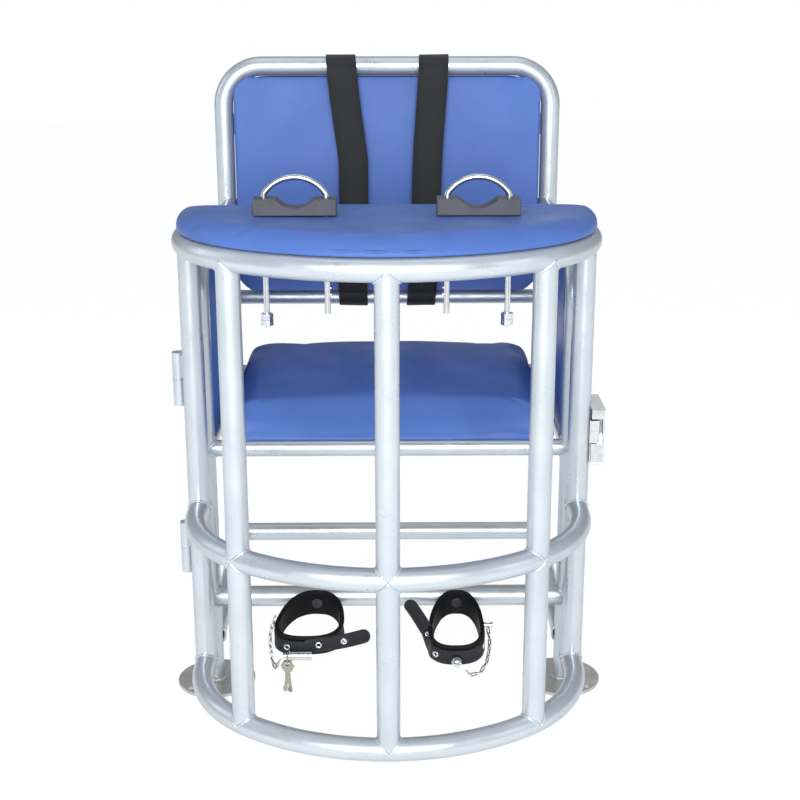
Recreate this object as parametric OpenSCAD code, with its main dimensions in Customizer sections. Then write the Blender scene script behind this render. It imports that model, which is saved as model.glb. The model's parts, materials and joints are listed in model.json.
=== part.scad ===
// Restraint chair of welded steel tube. A bow-fronted gate with a padded table hinges on the left
// front leg and closes into a lock case on the right one.
// X runs to the sitter's left, Y to the back, Z up. Left and right in the names are as seen from the
// front. The origin is on the floor, in the middle of the footprint.

/* [Tubes] */
// Outside diameter of the gate, back and foot rail tubes
main_tube_d = 32; // [30:0.5:34]
// Outside diameter of the side frame and seat rail tubes
side_tube_d = 25; // [22:0.5:26]
// Wall of every tube
tube_wall = 2; // [1.5:0.1:3]

/* [Chair frame] */
// Distance between the front legs' centres
leg_spacing = 544; // [530:1:552]
// Distance between the back uprights' centres
back_spacing = 556; // [550:1:566]
// Distance from the front legs to the back uprights
chair_depth = 430; // [400:5:460]
// Height of the top bar's centre
top_bar_height = 922; // [900:1:960]
// Bend radius of the back frame's corners
back_corner_r = 66; // [50:1:80]
// Height of the low bar under the back cushion
back_rail_height = 524; // [515:1:528]
// Height of the arm rails
arm_height = 689; // [675:1:691]
// Bend radius between front leg and arm rail
arm_bend_r = 80; // [60:1:100]
// Height of the seat rails
seat_rail_height = 386.5; // [375:0.5:392]
// Height of the rail that carries the ankle cuffs
cuff_rail_height = 144; // [135:1:150]
// Height of the side and rear foot rails
foot_rail_height = 78; // [70:1:85]

/* [Feet] */
// Diameter of the front foot plates
foot_plate_d = 120; // [116:1:126]
// Thickness of the front foot plates
foot_plate_t = 5; // [4:0.5:8]
// Hole circle of the foot plates
foot_bolt_pcd = 104; // [90:1:106]
// Diameter of the foot plate holes
foot_bolt_d = 10; // [8:0.5:11]
// Wall of the rear feet's plastic caps
foot_cap_wall = 2; // [1.5:0.1:3]
// Height of the rear feet's plastic caps
foot_cap_h = 30; // [20:1:40]

/* [Cushions and boards] */
// Thickness of the plywood boards
board_t = 12; // [9:1:14]
// Thickness of the seat cushion over its board
seat_foam_t = 38; // [30:1:45]
// Width of the seat cushion
seat_width = 505; // [480:1:506]
// Thickness of the back cushion over its board
back_foam_t = 28; // [20:1:34]
// Gap between the low back rail and the back cushion
back_low_gap = 4.5; // [3:0.5:10]
// Gap between the back cushion and the top bar
back_top_gap = 1; // [0.5:0.1:3]
// Thickness of the side panels' foam
panel_foam_t = 18; // [14:1:18]
// Thickness of the side panels' boards
panel_board_t = 6; // [4:1:8]
// Corner radius of the cushions
cushion_corner_r = 32; // [20:1:40]
// Gap round each cushion
cushion_gap = 1; // [0.5:0.1:2]

/* [Gate] */
// Distance from the gate's middle to a stile
gate_half_w = 280; // [276:1:281]
// Length of the rings' straight ends in front of the stiles
gate_straight = 30; // [26:1:40]
// Radius of the rings across the front
gate_front_r = 325; // [320:1:335]
// Distance from the gate's middle to an outer post
post_x = 203; // [180:1:210]
// Height of the bottom ring
bottom_ring_height = 60; // [50:1:75]
// Height of the middle ring
middle_ring_height = 310; // [300:1:320]
// Height of the top ring
top_ring_height = 722; // [722:1:728]
// Distance from the front legs forward to the stiles
gate_offset = 50; // [49:0.5:54]
// Thickness of the discs that close the rings' ends
end_disc_t = 2; // [1.5:0.5:3]

/* [Table] */
// Thickness of the table's board
table_board_t = 9; // [6:1:12]
// Thickness of the table's foam over its board
table_foam_t = 18; // [14:1:24]
// How far the table's edge passes the rings' centre line
table_overhang = 10; // [6:1:14]
// Radius of the table's rear corners
table_corner_r = 22; // [12:1:22]

/* [Wrist holds] */
// Distance from the middle to each wrist block
wrist_x = 121; // [110:1:130]
// Distance from the table's rear edge to the wrist blocks' middle
wrist_y = 108; // [95:1:120]
// Length of a wrist block
block_l = 110; // [104:1:120]
// Depth of a wrist block
block_w = 33; // [28:1:40]
// Height of a wrist block
block_h = 22; // [18:1:26]
// Radius of the saddle in a wrist block
saddle_r = 32; // [28:1:36]
// Depth of the saddle in a wrist block
saddle_depth = 12; // [8:1:14]
// Diameter of the hoop rod
hoop_rod_d = 8; // [6:0.5:10]
// Distance between a hoop's legs
hoop_spacing = 82; // [80:1:86]
// Height of the hoop's crown over its block, to the rod's centre
hoop_rise = 27; // [24:1:32]
// Radius of the bends between a hoop's crown and its legs
hoop_bend_r = 10; // [8:0.5:12]
// How far a hoop lifts
hoop_travel = 100; // [80:1:110]
// Clearance round each hoop leg
hoop_clearance = 0.5; // [0.3:0.1:1]
// Height of one hoop nut
nut_h = 8; // [6:0.5:9]
// Width of the hoop nuts across their corners
nut_d = 17; // [15:0.5:20]

/* [Hinges] */
// Diameter of the hinge barrels
barrel_d = 18; // [16:0.5:20]
// Length of a whole hinge
hinge_l = 80; // [70:1:90]
// Diameter of the hinge pins
hinge_pin_d = 10; // [8:0.5:12]
// Distance from the stile's centre out to the hinge axis
hinge_out = 25; // [24:0.5:27]
// Distance from the stile's centre back to the hinge axis
hinge_back = 22; // [20:0.5:24]
// Height of the upper hinge's middle
upper_hinge_height = 504; // [480:1:530]
// Height of the lower hinge's middle
lower_hinge_height = 240; // [200:1:250]
// Thickness of the hinge leaves
leaf_t = 6; // [4:0.5:7]

/* [Lock] */
// Width of the lock case
case_w = 20; // [19:0.5:24]
// Depth of the lock case
case_d = 81; // [75:1:90]
// Height of the lock case
case_h = 83; // [80:1:90]
// Drop from the seat rails' middle to the underside of the lock case
case_drop = 6.5; // [4:0.5:14]
// Height of the mouth that takes the striker
mouth_h = 38; // [36:1:42]
// Height of the jaw under the mouth
lower_jaw_h = 31; // [30:1:34]
// Depth of the mouth
mouth_d = 24; // [22:1:28]
// Diameter of the lock bolt
bolt_d = 8; // [7:0.5:9]
// How far the lock bolt rises
bolt_travel = 28; // [20:1:28]
// Radial clearance of pins and bolts in their bores
pin_fit = 0.05; // [0.02:0.01:0.1]

/* [Straps] */
// Width of the shoulder straps
strap_w = 50; // [40:1:55]
// Thickness of the webbing
strap_t = 2.4; // [2:0.1:3]
// Distance from the middle to each strap
strap_x = 68; // [60:1:90]

/* [Ankle cuffs] */
// Height of the cuffs at the rail
cuff_h = 40; // [36:1:44]
// Height of the cuffs at the front
cuff_front_h = 30; // [26:1:36]
// Thickness of a cuff's band with its lining
cuff_t = 8; // [6:0.5:10]
// Length of the left cuff's tail, from behind its lock
left_tail_l = 86; // [80:1:90]
// Length of the right cuff's tail
right_tail_l = 58; // [50:1:62]
// Diameter of the bolt that holds a cuff
cuff_bolt_d = 8; // [6:0.5:8]
// Wire of the cuffs' chains
chain_wire_d = 1.8; // [1.6:0.1:2]
// Length of one chain link inside
chain_pitch = 9; // [8.8:0.1:9.4]

/* [Hidden] */
$fn = 48;

main_r = main_tube_d / 2;
side_r = side_tube_d / 2;
weld_gap = 0.2;
soft_gap = 0.3;
eps = 1;

// Chair frame, with Y = 0 in the plane of the gate's stiles
leg_x = leg_spacing / 2;
leg_y = gate_offset;
back_x = back_spacing / 2;
back_y = leg_y + chair_depth;
foot_cap_r = main_r + weld_gap + foot_cap_wall;
foot_cap_floor = 3;
rail_end = 3;
strap_clear = 0.6;

// Gate rings: a straight end, a side arc and a flatter front arc on each side. The arcs join on
// the long side of a 3-4-5 triangle, so that their centres and the joint are round numbers.
join_cos = 0.6;
join_sin = 0.8;
join_angle = atan2(-join_sin, join_cos);
gate_side_r = (gate_half_w - gate_front_r * join_cos) / (1 - join_cos);
side_cx = gate_half_w - gate_side_r;
side_cy = -gate_straight;
front_cy = side_cy + (gate_front_r - gate_side_r) * join_sin;
gate_depth = gate_front_r - front_cy;
post_angle = -acos((post_x - side_cx) / gate_side_r);
post_y = side_cy + gate_side_r * sin(post_angle);
ring_back = main_r;

// The middle of the footprint
front_reach = gate_depth + main_r;
back_reach = back_y + max(foot_cap_r, main_r + strap_clear + strap_t);
middle_y = (back_reach - front_reach) / 2;

// Seat and back
seat_board_z = seat_rail_height + side_r + weld_gap;
seat_foam_z = seat_board_z + board_t + soft_gap;
seat_back_y = back_y - main_r - cushion_gap;
seat_front_y = leg_y - side_r + 6;
board_inset = 8;
back_width = leg_spacing - side_tube_d - 2 * cushion_gap;
back_bottom = back_rail_height + side_r + back_low_gap;
back_cushion_h = top_bar_height - main_r - back_top_gap - back_bottom;
back_board_y = back_y + main_r - board_t - 10;
back_foam_y = back_board_y - soft_gap - back_foam_t;
panel_front = leg_y + side_r + cushion_gap;
panel_back = back_foam_y - cushion_gap;
panel_bottom = seat_rail_height + side_r + soft_gap;
panel_top = arm_height - side_r - cushion_gap;
panel_corner_r = arm_bend_r - side_r - cushion_gap;
panel_board_x = leg_x;
panel_foam_x = panel_board_x - soft_gap - panel_foam_t;

// Table and wrist holds
table_z = top_ring_height + main_r + weld_gap;
table_top = table_z + table_board_t + table_foam_t;
table_edge_wall = 4;
hoop_leg_r = hoop_rod_d / 2;
hoop_hole_r = hoop_leg_r + hoop_clearance;
hoop_top = table_top + block_h + hoop_rise;
hoop_cos = 0.8;
hoop_sin = 0.6;
hoop_bend_x = hoop_spacing / 2 - hoop_bend_r;
hoop_crown_r = hoop_bend_r + hoop_bend_x / hoop_cos;
hoop_crown_z = hoop_top - hoop_crown_r;
hoop_bend_z = hoop_crown_z + (hoop_crown_r - hoop_bend_r) * hoop_sin;
nut_slack = 7;
nuts_top = table_z - hoop_travel - nut_slack;
nut_gap = 0.3;
hoop_leg_end = nuts_top - 2 * nut_h - nut_gap - 2;
catch_z = nuts_top + 26;
catch_step = 9;
catch_d = 4;
catch_l = 3;

// Hinges and lock
hinge_x = -gate_half_w - hinge_out;
hinge_y = hinge_back;
barrel_r = barrel_d / 2;
pin_r = hinge_pin_d / 2;
hinge_heights = [lower_hinge_height, upper_hinge_height];
barrel_end_wall = 5;
leaf_inset = 4;
thrust_gap = 0.3;
case_x = gate_half_w + main_r + 1;
case_y = -10;
case_bottom = seat_rail_height - case_drop;
case_wall = 2.5;
mouth_z = case_bottom + lower_jaw_h;
mouth_clear = 2;
striker_w = 15.5;
striker_d = 22;
striker_corner_r = 4;
striker_clear = 0.5;
striker_x = gate_half_w + main_r - 2;
striker_y = case_y - 2;
striker_z = mouth_z + mouth_clear;
striker_h = mouth_h - 2 * mouth_clear;
bolt_x = case_x + 5;
bolt_y = -1;
bolt_floor = 2;
bolt_l = lower_jaw_h - bolt_floor - 0.5;

// Straps: the loop's points run from the top bar down the front and up the back
strap_front_y = back_foam_y - soft_gap;

// Cuffs: each size is width and depth; each tail is a place, a tilt, a turn and a length; the skew is
// how far the hung end stands aside of the front
cuff_back_y = leg_y - main_r - soft_gap;
oval_power = 2.6;
cuff_tail_t = 4;
cuff_tail_h = 25;
cuff_taper = 0.4;
left_cuff_x = -123.5;
left_cuff_size = [123, 92];
left_cuff_droop = 34;
left_skew = 13.5;
left_bolt_x = left_cuff_x + left_skew;
left_tail = [7.5, -left_cuff_size[1] + cuff_tail_t / 2, -32, -7.5, 0, left_tail_l];
right_cuff_x = 100.5;
right_cuff_size = [101, 96];
right_cuff_droop = 49;
right_skew = 4;
right_bolt_x = right_cuff_x + right_skew;
right_tail = [-41, -60, -27, -53, 155, right_tail_l];
cuff_bolt_head_r = 8;
cuff_bolt_head_t = 3;
cuff_bolt_slack = 0.9;
cuff_lock_r = 7;
cuff_lock_l = 34;
neck_r = 3;
neck_l = 7;
neck_cap_r = 4;
neck_cap_t = 2;
left_lock_pos = [-131, cuff_back_y - left_cuff_size[1] - cuff_lock_r - soft_gap, 100];
right_lock_l = 16;
right_lock_pos = [101, cuff_back_y - right_cuff_size[1] - 2 * soft_gap, 91];
right_pin_clear = 0.9;
right_pin_pos = [right_cuff_x + right_skew / 2 + right_cuff_size[0] / 2 * (1 - cuff_taper / 2)
    + right_pin_clear, -14, 124];

// Chains and keys
chain_width = 5.4;
chain_slack = 0.3;
chain_turn = 20;
left_chain_path = [[-171.4, -18, 141], [-178.5, -26, 119], [-178, -36, 103], [-175.5, -46, 84],
    [-169.8, -56, 75], [-161.2, -64, 93]];
right_chain_path = [[150.8, -14, 118.5], [153, -30, 101], [148, -50, 82], [137, -66, 71],
    [122, -72, 70], [110.5, -72, 83]];
key_x = left_lock_pos[0] - cuff_lock_l / 2 - 0.36 * neck_l;
key_wire_r = 0.9;
key_ring_r = 8;
key_drop = key_ring_r - key_wire_r - neck_r - soft_gap;
key_hole_r = 3;
key_rise = 0.6;
key_spread = 1.6;
key_t = 2;
key_bow = 18;
key_l = 46;
key_blade_w = 5;

module place() {
    translate([0, -middle_y, 0]) children();
}

// A straight tube from a to b along one axis; solid = true gives its outside
module bar_z(r, x, y, z0, z1, solid = false) {
    translate([x, y, z0]) difference() {
        cylinder(r = r, h = z1 - z0);
        if (!solid) translate([0, 0, -eps]) cylinder(r = r - tube_wall, h = z1 - z0 + 2 * eps);
    }
}

module bar_x(r, x0, x1, y, z, solid = false) {
    translate([x0, y, z]) rotate([0, 90, 0]) bar_z(r, 0, 0, 0, x1 - x0, solid);
}

module bar_y(r, x, y0, y1, z, solid = false) {
    translate([x, y1, z]) rotate([90, 0, 0]) bar_z(r, 0, 0, 0, y1 - y0, solid);
}

// A whole ring of tube in the XY plane; solid = true gives its outside
module round_ring(r, bend_r, solid = true, steps = 96) {
    rotate_extrude($fn = steps) translate([bend_r, 0]) difference() {
        circle(r = r);
        if (!solid) circle(r = r - tube_wall);
    }
}

// A quarter of a ring, from the angle given
module quarter_bend(r, bend_r, from) {
    rotate([0, 0, from]) rotate_extrude(angle = 90, $fn = 96) translate([bend_r, 0]) circle(r = r);
}

// Mirrors its children to the other side of the chair as well
module both_sides() {
    children();
    mirror([1, 0, 0]) children();
}

module rounded_rect(w, h, r) {
    square([w - 2 * r, h], center = true);
    square([w, h - 2 * r], center = true);
    for (sx = [-1, 1], sy = [-1, 1])
        translate([sx * (w / 2 - r), sy * (h / 2 - r)]) circle(r = r);
}

// ---- Chair frame ----

module back_frame_path(r) {
    for (s = [-1, 1]) {
        bar_z(r, s * back_x, back_y, foot_cap_floor, top_bar_height - back_corner_r, true);
        translate([s * (back_x - back_corner_r), back_y, top_bar_height - back_corner_r])
            rotate([90, 0, 0]) quarter_bend(r, back_corner_r, s > 0 ? 0 : 90);
    }
    bar_x(r, -back_x + back_corner_r, back_x - back_corner_r, back_y, top_bar_height, true);
}

module back_frame() {
    color([0.72, 0.76, 0.80]) place() difference() {
        back_frame_path(main_r);
        back_frame_path(main_r - tube_wall);
        for (s = [-1, 1])
            bar_z(main_r - tube_wall, s * back_x, back_y, foot_cap_floor - eps, foot_cap_floor + eps, true);
    }
}

module upright_cutters(grow = weld_gap) {
    for (s = [-1, 1])
        bar_z(main_r + grow, s * back_x, back_y, 0, top_bar_height - back_corner_r, true);
}

module leg_cutters(grow = weld_gap) {
    for (s = [-1, 1])
        bar_z(side_r + grow, s * leg_x, leg_y, foot_plate_t, arm_height - arm_bend_r, true);
}

// A cross rail between the two back uprights
module upright_cross_rail(r, z) {
    color([0.72, 0.76, 0.80]) place() difference() {
        bar_x(r, -back_x + rail_end, back_x - rail_end, back_y, z);
        upright_cutters();
    }
}

module back_rail() {
    upright_cross_rail(side_r, back_rail_height);
}

module seat_rear_rail() {
    upright_cross_rail(side_r, seat_rail_height);
}

module rear_foot_rail() {
    upright_cross_rail(main_r, foot_rail_height);
}

module side_frame_path(r) {
    bar_z(r, leg_x, leg_y, foot_plate_t + weld_gap, arm_height - arm_bend_r, true);
    translate([leg_x, leg_y + arm_bend_r, arm_height - arm_bend_r])
        rotate([90, 0, 90]) quarter_bend(r, arm_bend_r, 90);
    bar_y(r, leg_x, leg_y + arm_bend_r, back_y, arm_height, true);
}

module side_frame() {
    color([0.72, 0.76, 0.80]) difference() {
        side_frame_path(side_r);
        side_frame_path(side_r - tube_wall);
        bar_z(side_r - tube_wall, leg_x, leg_y, foot_plate_t, foot_plate_t + eps, true);
        upright_cutters();
    }
}

module left_side_frame() {
    place() mirror([1, 0, 0]) side_frame();
}

module right_side_frame() {
    place() side_frame();
}

module seat_front_rail() {
    color([0.72, 0.76, 0.80]) place() difference() {
        bar_x(side_r, -leg_x + rail_end, leg_x - rail_end, leg_y, seat_rail_height);
        leg_cutters();
    }
}

// A pair of rails from the front legs to the back uprights, cut round the cross rails they meet
module side_rails(r, z, cross_at) {
    color([0.72, 0.76, 0.80]) place() difference() {
        both_sides() bar_y(r, leg_x, leg_y + rail_end, back_y - rail_end, z);
        leg_cutters();
        upright_cutters();
        for (y = cross_at) bar_x(r + weld_gap, -leg_x, leg_x, y, z, true);
    }
}

module seat_side_rails() {
    side_rails(side_r, seat_rail_height, [leg_y, back_y]);
}

module side_foot_rails() {
    side_rails(main_r, foot_rail_height, [back_y]);
}

module cuff_rail() {
    color([0.72, 0.76, 0.80]) place() difference() {
        bar_x(main_r, -leg_x + rail_end, leg_x - rail_end, leg_y, cuff_rail_height);
        leg_cutters();
        for (x = [left_bolt_x, right_bolt_x])
            bar_y(cuff_bolt_d / 2 + weld_gap, x, leg_y - main_r - eps, leg_y + main_r + eps,
                cuff_rail_height, true);
    }
}

// ---- Feet ----

module foot_plate(side) {
    color([0.55, 0.52, 0.47]) place() translate([side * leg_x, leg_y, 0]) difference() {
        cylinder(d = foot_plate_d, h = foot_plate_t, $fn = 96);
        for (a = [45 : 90 : 315])
            rotate([0, 0, a]) translate([foot_bolt_pcd / 2, 0, -eps])
                cylinder(d = foot_bolt_d, h = foot_plate_t + 2 * eps);
    }
}

module left_foot_plate() {
    foot_plate(-1);
}

module right_foot_plate() {
    foot_plate(1);
}

module rear_foot_caps() {
    color([0.12, 0.12, 0.13]) place() both_sides() translate([back_x, back_y, 0]) difference() {
        cylinder(r = foot_cap_r, h = foot_cap_h);
        translate([0, 0, foot_cap_floor - weld_gap]) cylinder(r = main_r + weld_gap, h = foot_cap_h);
    }
}

// ---- Seat, back and side panels ----

module seat_outline(inset) {
    depth = seat_back_y - seat_front_y - 2 * inset;
    translate([0, (seat_back_y + seat_front_y) / 2])
        rounded_rect(seat_width - 2 * inset, depth, cushion_corner_r - inset);
}

module seat_board() {
    color([0.60, 0.45, 0.28]) place() translate([0, 0, seat_board_z])
        linear_extrude(board_t) seat_outline(board_inset);
}

module seat_cushion() {
    color([0.22, 0.36, 0.66]) place() difference() {
        translate([0, 0, seat_board_z]) linear_extrude(board_t + soft_gap + seat_foam_t) seat_outline(0);
        translate([0, 0, seat_board_z - eps])
            linear_extrude(board_t + soft_gap + eps) seat_outline(board_inset - soft_gap);
    }
}

module back_outline(inset) {
    translate([0, back_bottom + back_cushion_h / 2])
        rounded_rect(back_width - 2 * inset, back_cushion_h - 2 * inset, back_corner_r - main_r - inset);
}

module back_board() {
    color([0.60, 0.45, 0.28]) place() translate([0, back_board_y + board_t, 0])
        rotate([90, 0, 0]) linear_extrude(board_t) back_outline(board_inset);
}

module back_cushion() {
    color([0.22, 0.36, 0.66]) place() translate([0, back_board_y + board_t, 0]) rotate([90, 0, 0])
        difference() {
            linear_extrude(board_t + soft_gap + back_foam_t) back_outline(0);
            translate([0, 0, -eps])
                linear_extrude(board_t + soft_gap + eps) back_outline(board_inset - soft_gap);
        }
}

// Angle cleats on the rear of the uprights that hold the back board
module board_brackets() {
    cleat_h = 36;
    cleat_t = 3;
    cleat_in = 34;
    color([0.70, 0.73, 0.77]) place() both_sides() for (z = [0.22, 0.78])
        translate([0, 0, back_bottom + z * back_cushion_h - cleat_h / 2]) difference() {
            translate([back_x - main_r - cleat_in, back_board_y + board_t + weld_gap, 0])
                cube([main_r + cleat_in, cleat_t, cleat_h]);
            translate([back_x, back_y, -eps]) cylinder(r = main_r + weld_gap, h = cleat_h + 2 * eps);
            translate([back_x - main_r - cleat_in / 2, back_board_y + board_t - eps, cleat_h / 2])
                rotate([-90, 0, 0]) cylinder(d = 5, h = cleat_t + 3 * eps);
        }
}

// The side panels' outline seen from the side, with the arm's bend at its upper front corner
module panel_outline(inset) {
    y0 = panel_front + inset;
    y1 = panel_back - inset;
    z0 = panel_bottom;
    z1 = panel_top - inset;
    r = panel_corner_r - inset;
    translate([y0, z0]) square([y1 - y0, z1 - r - z0]);
    translate([y0 + r, z0]) square([y1 - y0 - r, z1 - z0]);
    translate([y0 + r, z1 - r]) circle(r = r);
}

module panel_slab(x, t, inset) {
    translate([x, 0, 0]) rotate([90, 0, 90]) linear_extrude(t) panel_outline(inset);
}

module left_panel_pad() {
    color([0.22, 0.36, 0.66]) place() mirror([1, 0, 0]) panel_slab(panel_foam_x, panel_foam_t, 0);
}

module right_panel_pad() {
    color([0.22, 0.36, 0.66]) place() panel_slab(panel_foam_x, panel_foam_t, 0);
}

module panel_boards() {
    color([0.16, 0.26, 0.52]) place() both_sides() panel_slab(panel_board_x, panel_board_t, soft_gap);
}

// ---- Straps ----

function arc_points(cy, cz, r, a0, a1, steps, first = 0) =
    [for (i = [first : steps]) let (a = a0 + (a1 - a0) * i / steps) [cy + r * cos(a), cz + r * sin(a)]];

strap_loop = concat(
    arc_points(back_y, top_bar_height, main_r + strap_clear, 0, 180, 12),
    [[strap_front_y, back_bottom + back_cushion_h + strap_clear], [strap_front_y, back_bottom - strap_clear]],
    arc_points(back_y, back_rail_height, side_r + strap_clear, 180, 360, 12));

module strap() {
    translate([-strap_w / 2, 0, 0]) rotate([90, 0, 90]) linear_extrude(strap_w) difference() {
        offset(r = strap_t, $fn = 16) polygon(strap_loop);
        polygon(strap_loop);
    }
}

module left_strap() {
    color([0.10, 0.10, 0.11]) place() translate([-strap_x, 0, 0]) strap();
}

module right_strap() {
    color([0.10, 0.10, 0.11]) place() translate([strap_x, 0, 0]) strap();
}

// ---- Gate rings, stiles and posts ----

// The side arc, from the joint with the front arc round to the straight end
module ring_side_arc(r, solid = true) {
    reach = 2 * gate_side_r;
    intersection() {
        translate([side_cx, side_cy]) round_ring(r, gate_side_r, solid);
        translate([0, 0, -main_tube_d]) linear_extrude(2 * main_tube_d) polygon([
            [side_cx, side_cy],
            [side_cx + reach * join_cos, side_cy - reach * join_sin],
            [side_cx + reach, side_cy - reach * join_sin],
            [side_cx + reach, side_cy]]);
    }
}

// The front arc, between the two joints
module ring_front_arc(r, solid = true) {
    reach = 2 * gate_front_r;
    intersection() {
        translate([0, front_cy]) round_ring(r, gate_front_r, solid);
        translate([0, 0, -main_tube_d]) linear_extrude(2 * main_tube_d) polygon([
            [0, front_cy],
            [-reach * join_cos, front_cy - reach * join_sin],
            [reach * join_cos, front_cy - reach * join_sin]]);
    }
}

module ring(z) {
    color([0.74, 0.78, 0.82]) place() translate([0, 0, z]) {
        ring_front_arc(main_r, false);
        both_sides() {
            ring_side_arc(main_r, false);
            bar_y(main_r, gate_half_w, side_cy, ring_back, 0);
        }
    }
}

module top_ring() {
    ring(top_ring_height);
}

module middle_ring() {
    ring(middle_ring_height);
}

module bottom_ring() {
    ring(bottom_ring_height);
}

module ring_end_discs() {
    color([0.74, 0.78, 0.82]) place()
        for (s = [-1, 1], z = [bottom_ring_height, middle_ring_height, top_ring_height])
            bar_y(main_r, s * gate_half_w, ring_back + weld_gap, ring_back + weld_gap + end_disc_t, z, true);
}

module gate_rear_bar() {
    color([0.74, 0.78, 0.82]) place() difference() {
        bar_x(side_r, -gate_half_w + rail_end, gate_half_w - rail_end, 0, top_ring_height);
        both_sides() bar_z(main_r + weld_gap, gate_half_w, 0, top_ring_height - main_tube_d,
            top_ring_height, true);
        both_sides() bar_y(main_r + weld_gap, gate_half_w, side_cy, ring_back + eps, top_ring_height, true);
    }
}

// An upright between two rings at a stile; the rings' straight ends cope it
module stile_length(z0, z1) {
    color([0.74, 0.78, 0.82]) difference() {
        bar_z(main_r, gate_half_w, 0, z0, z1);
        for (z = [z0, z1])
            bar_y(main_r + weld_gap, gate_half_w, side_cy, ring_back + eps, z, true);
    }
}

module left_stile() {
    place() mirror([1, 0, 0]) stile_length(middle_ring_height, top_ring_height);
}

module right_stile() {
    place() stile_length(middle_ring_height, top_ring_height);
}

module lower_stiles() {
    place() both_sides() stile_length(bottom_ring_height, middle_ring_height);
}

// An outer post between two rings, coped to their side arcs
module post_length(z0, z1) {
    color([0.74, 0.78, 0.82]) difference() {
        bar_z(main_r, post_x, post_y, z0, z1);
        for (z = [z0, z1])
            translate([side_cx, side_cy, z]) round_ring(main_r + weld_gap, gate_side_r, steps = 480);
    }
}

// The centre post between two rings, coped to their front arc
module centre_length(z0, z1) {
    color([0.74, 0.78, 0.82]) difference() {
        bar_z(main_r, 0, -gate_depth, z0, z1);
        for (z = [z0, z1])
            translate([0, front_cy, z]) round_ring(main_r + weld_gap, gate_front_r, steps = 480);
    }
}

module left_post() {
    place() mirror([1, 0, 0]) post_length(middle_ring_height, top_ring_height);
}

module right_post() {
    place() post_length(middle_ring_height, top_ring_height);
}

module centre_post() {
    place() centre_length(middle_ring_height, top_ring_height);
}

module lower_posts() {
    place() {
        both_sides() post_length(bottom_ring_height, middle_ring_height);
        centre_length(bottom_ring_height, middle_ring_height);
    }
}

// ---- Hinges ----

// A flat leaf from the hinge axis to the axis of a tube, cut back to the tube's wall
module leaf(x, y, r, z0, z1) {
    dx = x - hinge_x;
    dy = y - hinge_y;
    difference() {
        translate([hinge_x, hinge_y, z0]) rotate([0, 0, atan2(dy, dx)])
            translate([0, -leaf_t / 2, 0]) cube([norm([dx, dy]), leaf_t, z1 - z0]);
        bar_z(r + weld_gap, x, y, z0 - eps, z1 + eps, true);
    }
}

// Half of a hinge: a barrel closed at its outer end, with the leaf that reaches its tube
module half_barrel(z, up, x, y, r) {
    length = (hinge_l - thrust_gap) / 2;
    z0 = up ? z + thrust_gap / 2 : z - thrust_gap / 2 - length;
    bore_z = up ? z0 - eps : z0 + barrel_end_wall;
    color([0.70, 0.74, 0.78]) difference() {
        union() {
            bar_z(barrel_r, hinge_x, hinge_y, z0, z0 + length, true);
            leaf(x, y, r, z0 + leaf_inset, z0 + length - leaf_inset);
        }
        bar_z(pin_r + pin_fit, hinge_x, hinge_y, bore_z, bore_z + length - barrel_end_wall + eps, true);
    }
}

module hinge_knuckles() {
    place() for (z = hinge_heights) half_barrel(z, false, -leg_x, leg_y, side_r);
}

module hinge_sleeves() {
    place() for (z = hinge_heights) half_barrel(z, true, -gate_half_w, 0, main_r);
}

module hinge_pins() {
    pin_l = hinge_l - 2 * barrel_end_wall - 1;
    color([0.60, 0.62, 0.65]) place() for (z = hinge_heights)
        bar_z(pin_r, hinge_x, hinge_y, z - pin_l / 2, z + pin_l / 2, true);
}

// ---- Lock ----

module lock_bracket() {
    bracket_w = 16;
    bracket_h = 55;
    color([0.66, 0.70, 0.74]) place() difference() {
        translate([leg_x, leg_y - bracket_w / 2, case_bottom + 14])
            cube([case_x - leg_x - weld_gap, bracket_w, bracket_h]);
        bar_z(side_r + weld_gap, leg_x, leg_y, case_bottom, case_bottom + case_h, true);
        bar_y(side_r + weld_gap, leg_x, leg_y, leg_y + bracket_w, seat_rail_height, true);
    }
}

module lock_case() {
    lip = 1;
    lip_t = 2;
    color([0.78, 0.80, 0.83]) place() difference() {
        union() {
            translate([case_x, case_y, case_bottom]) cube([case_w - lip, case_d, case_h]);
            for (z = [case_bottom, case_bottom + case_h - lip_t])
                translate([case_x, case_y - lip, z]) cube([case_w, case_d + lip, lip_t]);
        }
        translate([case_x - eps, case_y - eps, mouth_z])
            cube([case_w - lip - case_wall + eps, mouth_d + eps, mouth_h]);
        bar_z(bolt_d / 2 + pin_fit, bolt_x, bolt_y, case_bottom + bolt_floor, mouth_z + eps, true);
    }
}

module lock_bolt() {
    color([0.80, 0.82, 0.84]) place()
        bar_z(bolt_d / 2, bolt_x, bolt_y, case_bottom + bolt_floor + 0.2,
            case_bottom + bolt_floor + 0.2 + bolt_l, true);
}

// The lug on the right stile, with the blind square socket that the bolt enters from below
module striker() {
    socket = bolt_d + 2 * striker_clear;
    color([0.80, 0.82, 0.84]) place() difference() {
        translate([striker_x, striker_y, striker_z]) linear_extrude(striker_h) {
            square([striker_w - striker_corner_r, striker_d]);
            translate([0, striker_corner_r]) square([striker_w, striker_d - 2 * striker_corner_r]);
            for (y = [striker_corner_r, striker_d - striker_corner_r])
                translate([striker_w - striker_corner_r, y]) circle(r = striker_corner_r);
        }
        bar_z(main_r + weld_gap, gate_half_w, 0, striker_z - eps, striker_z + striker_h + eps, true);
        translate([bolt_x - socket / 2, bolt_y - socket / 2, striker_z - eps])
            cube([socket, socket, bolt_travel + eps]);
    }
}

// ---- Table and wrist holds ----

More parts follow.
